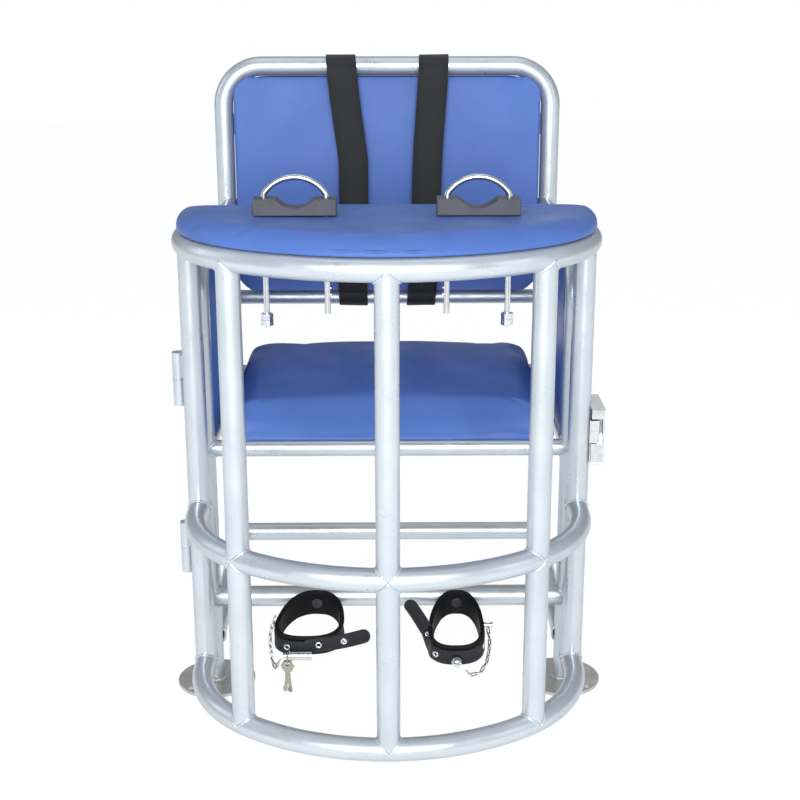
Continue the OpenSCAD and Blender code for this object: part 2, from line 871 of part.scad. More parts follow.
// Right half of the table's edge at a distance from the rings' centre line, from the rear corner
// round to the middle of the front
function table_half(grow) =
    let (corner = table_corner_r + grow - table_overhang, rear = grow - table_overhang)
    concat(
        arc_points(gate_half_w + grow - corner, rear - corner, corner, 90, 0, 8),
        arc_points(side_cx, side_cy, gate_side_r + grow, 0, join_angle, 14),
        arc_points(0, front_cy, gate_front_r + grow, join_angle, -90, 9, 1));

// The whole edge as one closed outline
function table_edge(grow) =
    let (half = table_half(grow), last = len(half) - 2)
    concat(half, [for (i = [last : -1 : 0]) [-half[i][0], half[i][1]]]);

// The legs' holes, each inner one with a keyway for the catch teeth up to where they rise
module hoop_holes(z0, z1) {
    keyway_top = catch_z + catch_step + catch_d / 2 + hoop_travel + 2 * hoop_clearance;
    keyway_w = catch_d + 2 * hoop_clearance;
    for (s = [-1, 1], t = [-1, 1])
        bar_z(hoop_hole_r, s * wrist_x + t * hoop_spacing / 2, -wrist_y, z0, z1, true);
    for (s = [-1, 1]) translate([s * (wrist_x - hoop_spacing / 2), -wrist_y, z0]) mirror([s > 0 ? 1 : 0, 0, 0])
        translate([0, -keyway_w / 2, 0])
            cube([hoop_leg_r + catch_l / 2 + hoop_clearance, keyway_w, min(z1, keyway_top) - z0]);
}

module table_board() {
    color([0.60, 0.45, 0.28]) place() difference() {
        translate([0, 0, table_z]) linear_extrude(table_board_t)
            polygon(table_edge(table_overhang - table_edge_wall));
        hoop_holes(table_z - eps, table_z + table_board_t + eps);
    }
}

module table_pad() {
    color([0.22, 0.36, 0.66]) place() difference() {
        translate([0, 0, table_z]) linear_extrude(table_board_t + table_foam_t)
            polygon(table_edge(table_overhang));
        translate([0, 0, table_z - eps]) linear_extrude(table_board_t + soft_gap + eps)
            polygon(table_edge(table_overhang - table_edge_wall + soft_gap));
        hoop_holes(table_z, table_top + eps);
    }
}

module wrist_block(side) {
    color([0.12, 0.12, 0.13]) place() difference() {
        translate([side * wrist_x, -wrist_y, table_top + weld_gap]) linear_extrude(block_h - weld_gap)
            rounded_rect(block_l, block_w, 4);
        translate([side * wrist_x, -wrist_y + block_w / 2 + eps, table_top + block_h - saddle_depth + saddle_r])
            rotate([90, 0, 0]) cylinder(r = saddle_r, h = block_w + 2 * eps, $fn = 64);
        hoop_holes(table_top, table_top + block_h + eps);
    }
}

module left_wrist_block() {
    wrist_block(-1);
}

module right_wrist_block() {
    wrist_block(1);
}

// The bend between a hoop's crown and one leg, seen from the front with its centre at the origin
module hoop_bend() {
    reach = 4 * hoop_bend_r;
    intersection() {
        round_ring(hoop_leg_r, hoop_bend_r);
        translate([0, 0, -hoop_rod_d]) linear_extrude(2 * hoop_rod_d)
            polygon([[0, 0], [reach, 0], [reach, reach * hoop_sin], [reach * hoop_cos, reach * hoop_sin]]);
    }
}

module hoop_crown() {
    reach = 2 * hoop_crown_r;
    intersection() {
        round_ring(hoop_leg_r, hoop_crown_r);
        translate([0, 0, -hoop_rod_d]) linear_extrude(2 * hoop_rod_d)
            polygon([[0, 0], [reach * hoop_cos, reach * hoop_sin], [reach * hoop_cos, reach],
                [-reach * hoop_cos, reach], [-reach * hoop_cos, reach * hoop_sin]]);
    }
}

// A hoop: crown arc, two short bends and two straight legs, the outer one longer for its nuts
module hoop(side) {
    color([0.78, 0.80, 0.82]) place() translate([side * wrist_x, -wrist_y, 0]) {
        translate([0, 0, hoop_crown_z]) rotate([90, 0, 0]) hoop_crown();
        both_sides() translate([hoop_bend_x, 0, hoop_bend_z]) rotate([90, 0, 0]) hoop_bend();
        for (s = [-1, 1])
            bar_z(hoop_leg_r, s * hoop_spacing / 2, 0, s == side ? hoop_leg_end : nuts_top, hoop_bend_z, true);
        // Two catch teeth near the foot of the inner leg
        for (i = [0, 1])
            translate([-side * (hoop_spacing / 2 + hoop_leg_r), 0, catch_z + catch_step * i])
                rotate([0, 90, 0]) cylinder(d = catch_d, h = catch_l, center = true);
    }
}

module left_hoop() {
    hoop(-1);
}

module right_hoop() {
    hoop(1);
}

module hoop_nuts(side) {
    color([0.75, 0.76, 0.74]) place()
        translate([side * (wrist_x + hoop_spacing / 2), -wrist_y, nuts_top - 2 * nut_h - nut_gap])
            for (i = [0, 1]) translate([0, 0, i * (nut_h + nut_gap)]) difference() {
                cylinder(d = nut_d, h = nut_h, $fn = 6);
                translate([0, 0, -eps]) cylinder(r = hoop_leg_r + pin_fit, h = nut_h + 2 * eps);
            }
}

module left_hoop_nuts() {
    hoop_nuts(-1);
}

module right_hoop_nuts() {
    hoop_nuts(1);
}

// ---- Ankle cuffs ----

// One point of a rounded oval that is w wide and d deep
function oval_point(w, d, a) =
    let (c = cos(a), n = sin(a), k = 2 / oval_power)
    [sign(c) * pow(abs(c), k) * w / 2, sign(n) * pow(abs(n), k) * d / 2];

// A band round the oval whose front droops below its rear wall
module cuff_band(size, droop, skew) {
    steps = 40;
    inner = [size[0] - 2 * cuff_t, size[1] - 2 * cuff_t];
    rings = [for (i = [0 : steps - 1]) let (
        a = 360 * i / steps + 90,
        o = oval_point(size[0], size[1], a),
        n = oval_point(inner[0], inner[1], a),
        back = o[1] / size[1] + 0.5,
        narrow = 1 - cuff_taper * back,
        z = droop * (back - 1),
        h = cuff_front_h / 2 + (cuff_h - cuff_front_h) / 2 * back)
        [[o[0] * narrow + skew * back, o[1], z - h], [o[0] * narrow + skew * back, o[1], z + h],
         [n[0] * narrow + skew * back, n[1], z + h], [n[0] * narrow + skew * back, n[1], z - h]]];
    points = [for (ring = rings) for (p = ring) p];
    faces = [for (i = [0 : steps - 1]) let (j = (i + 1) % steps) for (k = [0 : 3])
        [4 * i + k, 4 * i + (k + 1) % 4, 4 * j + (k + 1) % 4, 4 * j + k]];
    polyhedron(points = points, faces = faces, convexity = 4);
}

// A cuff hung on its bolt at the front of the cuff rail, with the loose tail of its strap
module hung_cuff(x, bolt_x, size, droop, skew, tail) {
    color([0.12, 0.12, 0.14]) place() difference() {
        translate([x, cuff_back_y, cuff_rail_height]) {
            translate([0, -size[1] / 2, 0]) cuff_band(size, droop, skew);
            translate([tail[0], tail[1], tail[2]]) rotate([0, tail[3], tail[4]])
                translate([0, -cuff_tail_t / 2, -cuff_tail_h / 2]) cube([tail[5], cuff_tail_t, cuff_tail_h]);
        }
        bar_y(cuff_bolt_d / 2 + weld_gap, bolt_x, cuff_back_y - 2 * cuff_t, cuff_back_y + eps,
            cuff_rail_height, true);
    }
}

module left_cuff() {
    hung_cuff(left_cuff_x, left_bolt_x, left_cuff_size, left_cuff_droop, left_skew, left_tail);
}

module right_cuff() {
    hung_cuff(right_cuff_x, right_bolt_x, right_cuff_size, right_cuff_droop, right_skew, right_tail);
}

// A pan-head bolt through each cuff and the rail, with its nut behind
module cuff_bolts() {
    head_y = cuff_back_y - cuff_t - cuff_bolt_slack;
    tail_y = leg_y + main_r + weld_gap;
    color([0.62, 0.64, 0.66]) place() for (x = [left_bolt_x, right_bolt_x]) {
        bar_y(cuff_bolt_head_r, x, head_y - cuff_bolt_head_t, head_y, cuff_rail_height, true);
        bar_y(cuff_bolt_d / 2, x, head_y - eps, tail_y + nut_h, cuff_rail_height, true);
        translate([x, tail_y + nut_h, cuff_rail_height]) rotate([90, 0, 0])
            cylinder(d = nut_d, h = nut_h, $fn = 6);
    }
}

// Barrel of the left cuff's lock, with the neck that carries the key ring
module left_cuff_lock() {
    color([0.80, 0.81, 0.82]) place() translate(left_lock_pos) {
        bar_x(cuff_lock_r, -cuff_lock_l / 2, cuff_lock_l / 2, 0, 0, true);
        bar_x(neck_r, -cuff_lock_l / 2 - neck_l, -cuff_lock_l / 2 + eps, 0, 0, true);
        bar_x(neck_cap_r, -cuff_lock_l / 2 - neck_l - neck_cap_t, -cuff_lock_l / 2 - neck_l, 0, 0, true);
    }
}

// Barrel of the right cuff's lock, which points forward
module right_cuff_lock() {
    color([0.80, 0.81, 0.82]) place() translate(right_lock_pos) {
        bar_y(cuff_lock_r, 0, -right_lock_l, 0, 0, true);
        bar_y(cuff_lock_r + 1, 0, -right_lock_l / 2 - 2, -right_lock_l / 2 + 2, 0, true);
    }
}

// The loose locking pin of the right cuff, with a neck for its chain
module right_lock_pin() {
    color([0.80, 0.81, 0.82]) place() translate(right_pin_pos) {
        bar_x(neck_cap_r, 0, 4, 0, 0, true);
        bar_x(neck_r, 4 - eps, 10 + eps, 0, 0, true);
        bar_x(neck_cap_r, 10, 14, 0, 0, true);
    }
}

// ---- Chains and keys ----

function path_length(p, i = 0) = i >= len(p) - 1 ? 0 : norm(p[i + 1] - p[i]) + path_length(p, i + 1);

function point_at(p, s, i = 0) =
    let (l = norm(p[i + 1] - p[i]))
    s <= l || i == len(p) - 2 ? p[i] + (p[i + 1] - p[i]) * s / l : point_at(p, s - l, i + 1);

// A long link along Z, centred on the origin
module chain_link() {
    r = chain_wire_d / 2;
    end_r = chain_width / 2;
    straight = chain_pitch + chain_slack - 2 * (end_r - r);
    for (s = [-1, 1]) {
        translate([s * end_r, 0, -straight / 2]) cylinder(r = r, h = straight, $fn = 16);
        translate([0, 0, s * straight / 2]) rotate([90, 0, 0])
            rotate([0, 0, s > 0 ? 0 : 180]) rotate_extrude(angle = 180, $fn = 32)
                translate([end_r, 0]) circle(r = r, $fn = 16);
    }
}

// Links from joint to joint along a path, each turned a quarter from the last
module chain(path) {
    count = floor(path_length(path) / chain_pitch);
    color([0.75, 0.76, 0.76]) place() for (i = [0 : count - 1]) {
        a = point_at(path, i * chain_pitch);
        b = point_at(path, (i + 1) * chain_pitch);
        v = b - a;
        translate((a + b) / 2) rotate([0, acos(v[2] / norm(v)), atan2(v[1], v[0])])
            rotate([0, 0, 90 * (i % 2) + chain_turn]) chain_link();
    }
}

module left_cuff_chain() {
    chain(left_chain_path);
}

module right_cuff_chain() {
    chain(right_chain_path);
}

// The split ring on the lock's neck and two flat keys on it
module cuff_keys() {
    color([0.62, 0.63, 0.58]) place() translate([key_x, left_lock_pos[1], left_lock_pos[2] - key_drop]) {
        rotate([0, 90, 0]) rotate_extrude($fn = 48) translate([key_ring_r, 0]) circle(r = key_wire_r, $fn = 16);
        for (s = [-1, 1])
            translate([0, s * key_spread, -key_ring_r - key_hole_r + key_wire_r + soft_gap + key_rise])
                rotate([0, s * 5, 0]) rotate([90, 0, 0]) key();
    }
}

// A key in the XY plane, with its hole at the origin and its blade towards -Y
module key() {
    linear_extrude(key_t, center = true) difference() {
        union() {
            translate([0, -key_bow / 2 + key_hole_r + 2]) circle(d = key_bow * 1.1, $fn = 6);
            translate([-key_blade_w / 2, -key_l]) square([key_blade_w, key_l - key_bow / 2]);
            translate([-key_blade_w / 2 - 1.5, -key_l + 2]) square([3, 5]);
        }
        circle(r = key_hole_r, $fn = 24);
    }
}

back_frame();
back_rail();
left_side_frame();
right_side_frame();
seat_front_rail();
seat_side_rails();
seat_rear_rail();
cuff_rail();
side_foot_rails();
rear_foot_rail();
left_foot_plate();
right_foot_plate();
rear_foot_caps();
seat_board();
seat_cushion();
back_board();
back_cushion();
board_brackets();
left_panel_pad();
right_panel_pad();
panel_boards();
left_strap();
right_strap();
hinge_knuckles();
hinge_pins();
lock_bracket();
lock_case();
lock_bolt();
left_cuff();
right_cuff();
cuff_bolts();
left_cuff_lock();
right_cuff_lock();
left_cuff_chain();
right_cuff_chain();
right_lock_pin();
cuff_keys();
top_ring();
middle_ring();
bottom_ring();
ring_end_discs();
gate_rear_bar();
left_stile();
right_stile();
lower_stiles();
left_post();
centre_post();
right_post();
lower_posts();
hinge_sleeves();
striker();
table_board();
table_pad();
left_wrist_block();
right_wrist_block();
left_hoop();
right_hoop();
left_hoop_nuts();
right_hoop_nuts();
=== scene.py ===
"""Looks of the restraint chair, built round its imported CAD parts. Metres, in the CAD frame."""
import json
import math

import bmesh
import bpy
from mathutils import Matrix, Vector, noise


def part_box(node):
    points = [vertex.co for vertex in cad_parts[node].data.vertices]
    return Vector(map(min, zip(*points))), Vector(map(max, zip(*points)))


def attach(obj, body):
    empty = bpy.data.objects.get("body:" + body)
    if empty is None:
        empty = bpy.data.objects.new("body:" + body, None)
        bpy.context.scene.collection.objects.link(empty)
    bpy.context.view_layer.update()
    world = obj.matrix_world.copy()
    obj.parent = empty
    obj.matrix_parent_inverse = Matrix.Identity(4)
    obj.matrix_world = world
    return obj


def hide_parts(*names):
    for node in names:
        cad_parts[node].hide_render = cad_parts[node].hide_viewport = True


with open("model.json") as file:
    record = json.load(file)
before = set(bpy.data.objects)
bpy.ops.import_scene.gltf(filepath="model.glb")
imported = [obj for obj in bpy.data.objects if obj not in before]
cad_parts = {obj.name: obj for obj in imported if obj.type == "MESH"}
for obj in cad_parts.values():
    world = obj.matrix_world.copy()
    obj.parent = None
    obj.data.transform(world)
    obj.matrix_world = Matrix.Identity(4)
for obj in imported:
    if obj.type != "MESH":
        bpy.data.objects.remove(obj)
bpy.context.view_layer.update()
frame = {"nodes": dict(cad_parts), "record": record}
MM = 0.001
lo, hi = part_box("left_stile")
Y0 = (lo.y + hi.y) / 2


def P(x, y, z):
    """A point given in millimetres, with y = 0 in the plane of the gate's stiles."""
    return Vector((x * MM, y * MM + Y0, z * MM))


# ---------------------------------------------------------------- camera and light
CAMERA_AT, CAMERA_LENS = (4.9, -1956.8, 1063), 63.22       # fitted to the photo
CAMERA_TURN, CAMERA_TILT, CAMERA_ROLL = -0.38, 73.31, -0.09      # degrees
SKY, SKY_STRENGTH = (0.86, 0.92, 1.0, 1), 0.38
WHITE = (1, 1, 1, 1)


def add_camera():
    data = bpy.data.cameras.new("camera")
    data.sensor_width = 36
    data.lens = CAMERA_LENS
    data.clip_end = 50
    cam = bpy.data.objects.new("camera", data)
    bpy.context.collection.objects.link(cam)
    cam.location = P(*CAMERA_AT)
    cam.rotation_euler = (Matrix.Rotation(math.radians(CAMERA_TURN), 3, "Z")
                          @ Matrix.Rotation(math.radians(CAMERA_TILT), 3, "X")
                          @ Matrix.Rotation(math.radians(CAMERA_ROLL), 3, "Z")).to_euler()
    bpy.context.scene.camera = cam


def area(name, at, aim, w, h, power):
    """A lamp of w by h metres that points from at to aim."""
    data = bpy.data.lights.new(name, "AREA")
    data.shape = "RECTANGLE"
    data.size, data.size_y = w, h
    data.energy = power
    o = bpy.data.objects.new(name, data)
    bpy.context.collection.objects.link(o)
    o.location = at
    o.rotation_euler = (Vector(aim) - Vector(at)).to_track_quat("-Z", "Y").to_euler()


def add_world():
    """White to the camera, and a soft bluish sky to everything else."""
    world = bpy.data.worlds.new("studio")
    bpy.context.scene.world = world
    world.use_nodes = True
    tree = world.node_tree
    for n in list(tree.nodes):
        tree.nodes.remove(n)
    out = tree.nodes.new("ShaderNodeOutputWorld")
    mix = tree.nodes.new("ShaderNodeMixShader")
    path = tree.nodes.new("ShaderNodeLightPath")
    tree.links.new(path.outputs["Is Camera Ray"], mix.inputs["Fac"])
    for place, color, strength in ((1, SKY, SKY_STRENGTH), (2, WHITE, 1.0)):
        background = tree.nodes.new("ShaderNodeBackground")
        background.inputs["Color"].default_value = color
        background.inputs["Strength"].default_value = strength
        tree.links.new(background.outputs[0], mix.inputs[place])
    tree.links.new(mix.outputs[0], out.inputs["Surface"])


add_camera()
bpy.context.scene.view_settings.view_transform = "Standard"
area("key", (-0.1, -3.1, 1.5), (0, 0, 0.5), 2.6, 1.7, 105)
area("fill", (2.7, -1.5, 1.4), (0, 0, 0.45), 1.2, 1.6, 6)
area("left_rim", (-2.7, 0.4, 1.6), (0, 0.1, 0.5), 1.2, 1.6, 6)
area("top", (0.0, 0.2, 3.2), (0, 0, 0.4), 2.2, 2.0, 8)
area("behind", (0.6, 3.0, 2.0), (0, 0, 0.5), 1.6, 1.6, 3)
add_world()


# ---------------------------------------------------------------- materials
class Mat:
    """A node material with a Principled shader and a few shorthand calls."""

    def __init__(self, name, rough=0.5, metal=0.0, **sockets):
        self.m = bpy.data.materials.new(name)
        self.m.use_nodes = True
        self.t = self.m.node_tree
        self.b = self.t.nodes["Principled BSDF"]
        self.b.inputs["Roughness"].default_value = rough
        self.b.inputs["Metallic"].default_value = metal
        for k, v in sockets.items():
            self.b.inputs[k.replace("_", " ")].default_value = v
        self.coord = self.t.nodes.new("ShaderNodeTexCoord").outputs["Object"]
        self.height = None

    def node(self, kind, **inputs):
        n = self.t.nodes.new("ShaderNode" + kind)
        for k, v in inputs.items():
            self.put(n.inputs[k.replace("_", " ")], v)
        return n

    def put(self, socket, v):
        if isinstance(v, bpy.types.NodeSocket):
            self.t.links.new(v, socket)
        else:
            socket.default_value = v

    def noise(self, scale, detail=3.0, rough=0.5, at=None):
        n = self.node("TexNoise", Scale=scale, Detail=detail, Roughness=rough)
        self.t.links.new(at or self.coord, n.inputs["Vector"])
        return n.outputs["Fac"]

    def voronoi(self, scale):
        n = self.node("TexVoronoi", Scale=scale)
        self.t.links.new(self.coord, n.inputs["Vector"])
        return n.outputs["Distance"]

    def ramp(self, fac, *stops):
        """Maps fac through (place, grey or colour) stops."""
        n = self.t.nodes.new("ShaderNodeValToRGB")
        self.t.links.new(fac, n.inputs["Fac"])
        e = n.color_ramp.elements
        while len(e) < len(stops):
            e.new(0.5)
        for el, (p, c) in zip(e, stops):
            el.position = p
            el.color = (c, c, c, 1) if isinstance(c, (int, float)) else (*c, 1)
        return n.outputs["Color"]

    def mix(self, fac, a, b):
        n = self.t.nodes.new("ShaderNodeMix")
        n.data_type = "RGBA"
        for k, v in (("Factor", fac), ("A", a), ("B", b)):
            kind = "VALUE" if k == "Factor" else "RGBA"
            s = [i for i in n.inputs if i.name == k and i.type == kind][0]
            self.put(s, (*v, 1) if isinstance(v, tuple) and len(v) == 3 else v)
        return [o for o in n.outputs if o.type == "RGBA"][0]

    def math(self, op, a, b=0.0):
        n = self.t.nodes.new("ShaderNodeMath")
        n.operation = op
        self.put(n.inputs[0], a)
        self.put(n.inputs[1], b)
        return n.outputs[0]

    def color(self, v):
        self.put(self.b.inputs["Base Color"], v)

    def rough(self, fac, *stops):
        self.put(self.b.inputs["Roughness"], self.ramp(fac, *stops))

    def bump(self, height, distance, strength=1.0):
        """Adds a bump over any already there."""
        n = self.node("Bump", Strength=strength, Distance=distance, Height=height)
        if self.height:
            self.t.links.new(self.height, n.inputs["Normal"])
        self.height = n.outputs["Normal"]
        self.t.links.new(self.height, self.b.inputs["Normal"])

    def scaled(self, x, y, z):
        n = self.t.nodes.new("ShaderNodeMapping")
        self.t.links.new(self.coord, n.inputs["Vector"])
        n.inputs["Scale"].default_value = (x, y, z)
        return n.outputs["Vector"]


def make_paint(name, base, shade, rough):
    """Silver paint: a faint flake, slight flow marks, dull patches, a few rubbed specks, and painted shade
    where the tube turns away from the view.
    """
    m = Mat(name, rough=rough, metal=0.6, Coat_Weight=0.3, Coat_Roughness=0.2)
    cloud = m.noise(9, 4, 0.55)
    body = m.mix(m.ramp(cloud, (0.35, 0.0), (0.68, 1.0)), base, shade)
    painted_edge_shade = m.ramp(m.node("LayerWeight", Blend=0.5).outputs["Facing"], (0.30, 0.0), (0.85, 0.75))
    body = m.mix(painted_edge_shade, body, (0.40, 0.45, 0.50))      # painted shade: the paint darkens where the tube turns away from the view
    speck = m.ramp(m.noise(420, 2), (0.66, 0.0), (0.72, 1.0))
    rub = m.ramp(m.noise(38, 5, 0.7), (0.66, 0.0), (0.74, 1.0))
    body = m.mix(m.math("MULTIPLY", speck, 0.35), body, (0.80, 0.83, 0.86))
    m.color(m.mix(m.math("MULTIPLY", rub, 0.22), body, (0.36, 0.38, 0.40)))
    m.rough(m.noise(30, 4, 0.6), (0.3, rough - 0.06), (0.75, rough + 0.14))
    m.bump(m.noise(240, 2, 0.5), 0.00012, 0.25)
    m.bump(m.noise(26, 2), 0.0004, 0.18)
    return m.m


def make_plated(name, base, rough, stain):
    """Plated steel with cloudy stains and fine scratches."""
    m = Mat(name, rough=rough, metal=1.0)
    m.color(m.mix(m.ramp(m.noise(60, 4, 0.65), (0.45, 0.0), (0.72, 1.0)), base, stain))
    m.rough(m.noise(110, 4, 0.7), (0.35, rough * 0.75), (0.75, rough * 1.5))
    m.bump(m.noise(900, 2), 0.00005, 0.3)
    return m.m


def make_weld():
    """A cleaned and painted bead: brighter than the tube, with spatter."""
    m = Mat("weld_bead", rough=0.34, metal=0.6, Coat_Weight=0.2, Coat_Roughness=0.25)
    patch = m.ramp(m.noise(150, 4, 0.6), (0.35, 0.0), (0.7, 1.0))
    m.color(m.mix(patch, (0.70, 0.76, 0.81), (0.58, 0.63, 0.68)))
    m.bump(m.noise(700, 3), 0.0004, 0.5)
    return m.m


def make_plate():
    """Dull brownish steel of the foot plates, with rubbed patches and a little rust."""
    m = Mat("plate_steel", rough=0.5, metal=0.75)
    patch = m.ramp(m.noise(22, 5, 0.65), (0.35, 0.0), (0.7, 1.0))
    body = m.mix(patch, (0.54, 0.52, 0.48), (0.68, 0.66, 0.63))
    rust = m.ramp(m.noise(70, 6, 0.75), (0.60, 0.0), (0.70, 1.0))
    m.color(m.mix(m.math("MULTIPLY", rust, 0.6), body, (0.24, 0.16, 0.10)))
    m.rough(m.noise(90, 4), (0.3, 0.38), (0.8, 0.62))
    m.bump(m.noise(500, 3), 0.0002, 0.3)
    return m.m


def make_vinyl(name, deep, mid):
    """Upholstery vinyl: fine pebbled grain with painted shade in its pits, soft shine, slight mottling and
    drag creases.
    """
    m = Mat(name, rough=0.42, Coat_Weight=0.05, Coat_Roughness=0.3)
    m.b.inputs["Specular IOR Level"].default_value = 0.24
    cloud = m.ramp(m.noise(7, 3, 0.5), (0.32, 0.0), (0.7, 1.0))
    body = m.mix(cloud, deep, mid)
    grain = m.voronoi(820)
    # painted shade: darkens the grain's pits, where its bump is lowest
    dark = m.ramp(grain, (0.0, 1.0), (0.65, 0.0))
    pit_shade_color = (deep[0] * 0.45, deep[1] * 0.5, deep[2] * 0.6)
    m.color(m.mix(m.math("MULTIPLY", dark, 0.16), body, pit_shade_color))
    m.rough(m.noise(16, 3), (0.3, 0.36), (0.75, 0.52))
    m.bump(grain, 0.00012, 0.40)
    m.bump(m.noise(60, 3, 0.6), 0.0006, 0.10)
    return m.m


def make_webbing(name, pitch, base, contrast):
    """Black woven webbing. Its ribs lie across it and repeat along v of the UV map, pitch metres apart, with
    painted shade: lighter rib tops and darker gaps.
    """
    m = Mat(name, rough=0.66, Sheen_Weight=0.12, Sheen_Roughness=0.5)
    m.b.inputs["Specular IOR Level"].default_value = 0.28
    uv = m.t.nodes.new("ShaderNodeUVMap").outputs["UV"]
    sep = m.node("SeparateXYZ", Vector=uv)
    side, along = sep.outputs["X"], sep.outputs["Y"]
    rib = m.math("SINE", m.math("MULTIPLY", along, 2 * math.pi / pitch))
    rib = m.math("ADD", m.math("MULTIPLY", rib, 0.5), 0.5)
    cross = m.math("SINE", m.math("MULTIPLY", side, 2 * math.pi / (pitch * 0.9)))
    weave = m.math("MULTIPLY", rib, m.math("ADD", m.math("MULTIPLY", cross, 0.25), 0.75))
    fuzz = m.noise(700, 3, 0.7)
    # painted shade: lighter on the ribs' tops, darker in the gaps between them
    rib_shaded_tone = m.mix(weave, base, tuple(c * contrast for c in base))
    m.color(m.mix(m.ramp(fuzz, (0.5, 0.0), (0.8, 0.5)), rib_shaded_tone, (0.055, 0.057, 0.062)))
    m.rough(fuzz, (0.3, 0.52), (0.8, 0.74))
    m.bump(weave, 0.0005, 0.75)
    m.bump(fuzz, 0.0003, 0.25)
    return m.m


def make_rubbery(name, base, rough, grain, depth, shine=0.5):
    """A dull black or dark skin with a fine grain of the given depth."""
    m = Mat(name, rough=rough)
    m.b.inputs["Specular IOR Level"].default_value = shine
    fine = m.noise(grain, 3, 0.6)
    m.color(m.mix(m.ramp(fine, (0.35, 0.0), (0.7, 1.0)), base, tuple(c * 1.7 + 0.006 for c in base)))
    m.rough(m.noise(45, 4), (0.3, rough - 0.1), (0.8, rough + 0.12))
    m.bump(fine, depth, 0.4)
    return m.m


def make_plywood():
    m = Mat("plywood", rough=0.6)
    at = m.scaled(9, 90, 90)
    grain = m.noise(1.0, 6, 0.65, at=at)
    m.color(m.mix(m.ramp(grain, (0.3, 0.0), (0.7, 1.0)), (0.30, 0.19, 0.10), (0.56, 0.41, 0.25)))
    m.bump(grain, 0.0003, 0.35)
    return m.m


paint = make_paint("silver_paint", (0.65, 0.71, 0.765), (0.57, 0.63, 0.68), 0.31)
bright = make_plated("bright_steel", (0.78, 0.80, 0.82), 0.20, (0.60, 0.62, 0.63))
key_metal = make_plated("key_steel", (0.44, 0.46, 0.38), 0.28, (0.26, 0.27, 0.20))
plate_metal = make_plate()
weld = make_weld()
vinyl = make_vinyl("vinyl", (0.072, 0.150, 0.44), (0.088, 0.178, 0.52))
backing = make_rubbery("vinyl_backing", (0.03, 0.035, 0.06), 0.8, 500, 0.0004)
webbing = make_webbing("webbing", 0.0016, (0.011, 0.0115, 0.013), 2.6)
cuff_web = make_webbing("cuff_webbing", 0.0029, (0.006, 0.006, 0.008), 5.5)
neoprene = make_rubbery("neoprene", (0.004, 0.004, 0.005), 0.6, 900, 0.0004, 0.16)
link_metal = make_plated("link_steel", (0.58, 0.60, 0.60), 0.24, (0.40, 0.42, 0.40))
dark_metal = make_plated("dark_steel", (0.10, 0.10, 0.11), 0.42, (0.05, 0.05, 0.05))
plastic = make_rubbery("black_plastic", (0.042, 0.044, 0.056), 0.46, 800, 0.0003)
plywood = make_plywood()

MATERIAL_OF = {
    "silver_paint": paint, "bright_steel": bright, "key_steel": key_metal, "plate_steel": plate_metal,
    "vinyl": vinyl, "plywood": plywood, "webbing": webbing, "cuff_webbing": cuff_web,
    "black_plastic": plastic,
}
OWN_MATERIAL = {"table_board": backing, "panel_boards": backing, "cuff_bolts": dark_metal}


def dress(obj, material):
    obj.data.materials.clear()
    obj.data.materials.append(material)


slots = {s["node"]: s["material_slot"] for s in frame["record"]["subparts"]}
for name, obj in frame["nodes"].items():
    kept = OWN_MATERIAL.get(name) or MATERIAL_OF[slots[name]]
    if obj.material_slots:
        for s in obj.material_slots:
            s.material = kept
    else:
        dress(obj, kept)


# ---------------------------------------------------------------- mesh helpers
def new_object(name, bm, material, smooth=True):
    """An object made of bm, which is freed."""
    mesh = bpy.data.meshes.new(name)
    bm.to_mesh(mesh)
    bm.free()
    for p in mesh.polygons:
        p.use_smooth = smooth
    o = bpy.data.objects.new(name, mesh)
    bpy.context.collection.objects.link(o)
    mesh.materials.append(material)
    return o


def apply_modifiers(o):
    dg = bpy.context.evaluated_depsgraph_get()
    mesh = bpy.data.meshes.new_from_object(o.evaluated_get(dg))
    o.modifiers.clear()
    old = o.data
    o.data = mesh
    bpy.data.meshes.remove(old)


def sweep(bm, points, radii, sides):
    """A round bar through a closed line of points; radii is one number or a list."""
    n = len(points)
    rad = radii if isinstance(radii, list) else [radii] * n
    rings, up = [], None
    for i, p in enumerate(points):
        t = (points[(i + 1) % n] - points[(i - 1) % n]).normalized()
        if up is None:
            up = t.orthogonal().normalized()
        up = (up - t * up.dot(t)).normalized()
        side = t.cross(up)
        ring = []
        for k in range(sides):
            turn = k * 2 * math.pi / sides
            ring.append(bm.verts.new(p + (up * math.cos(turn) + side * math.sin(turn)) * rad[i]))
        rings.append(ring)
    first = rings[0]
    shift = min(range(sides), key=lambda k: (rings[-1][0].co - first[k].co).length)
    for i in range(n):
        a, b = rings[i], rings[(i + 1) % n]
        off = shift if i == n - 1 else 0
        for k in range(sides):
            bm.faces.new((a[k], a[(k + 1) % sides], b[(k + 1 + off) % sides], b[(k + off) % sides]))


def lathe(bm, profile, at, axis, steps):
    """Turns (radius, height) pairs about axis through at."""
    q = Vector((0, 0, 1)).rotation_difference(Vector(axis))
    turns = [2 * math.pi * k / steps for k in range(steps)]
    rings = []
    for r, h in profile:
        on_axis = r < 1e-7
        spots = [(0, 0, h)] if on_axis else [(r * math.cos(a), r * math.sin(a), h) for a in turns]
        rings.append([bm.verts.new(at + q @ Vector(v)) for v in spots])
    for a, b in zip(rings, rings[1:]):
        for k in range(steps):
            j = (k + 1) % steps
            quad = [a[k % len(a)], a[j % len(a)], b[j % len(b)], b[k % len(b)]]
            quad = [v for i, v in enumerate(quad) if v not in quad[:i]]
            if len(quad) > 2:
                bm.faces.new(quad)


def arc(cx, cy, r, a0, a1, steps):
    """Points of a 2-D arc from angle a0 to a1, in degrees."""
    return [(cx + r * math.cos(math.radians(a0 + (a1 - a0) * i / steps)),
             cy + r * math.sin(math.radians(a0 + (a1 - a0) * i / steps))) for i in range(steps + 1)]


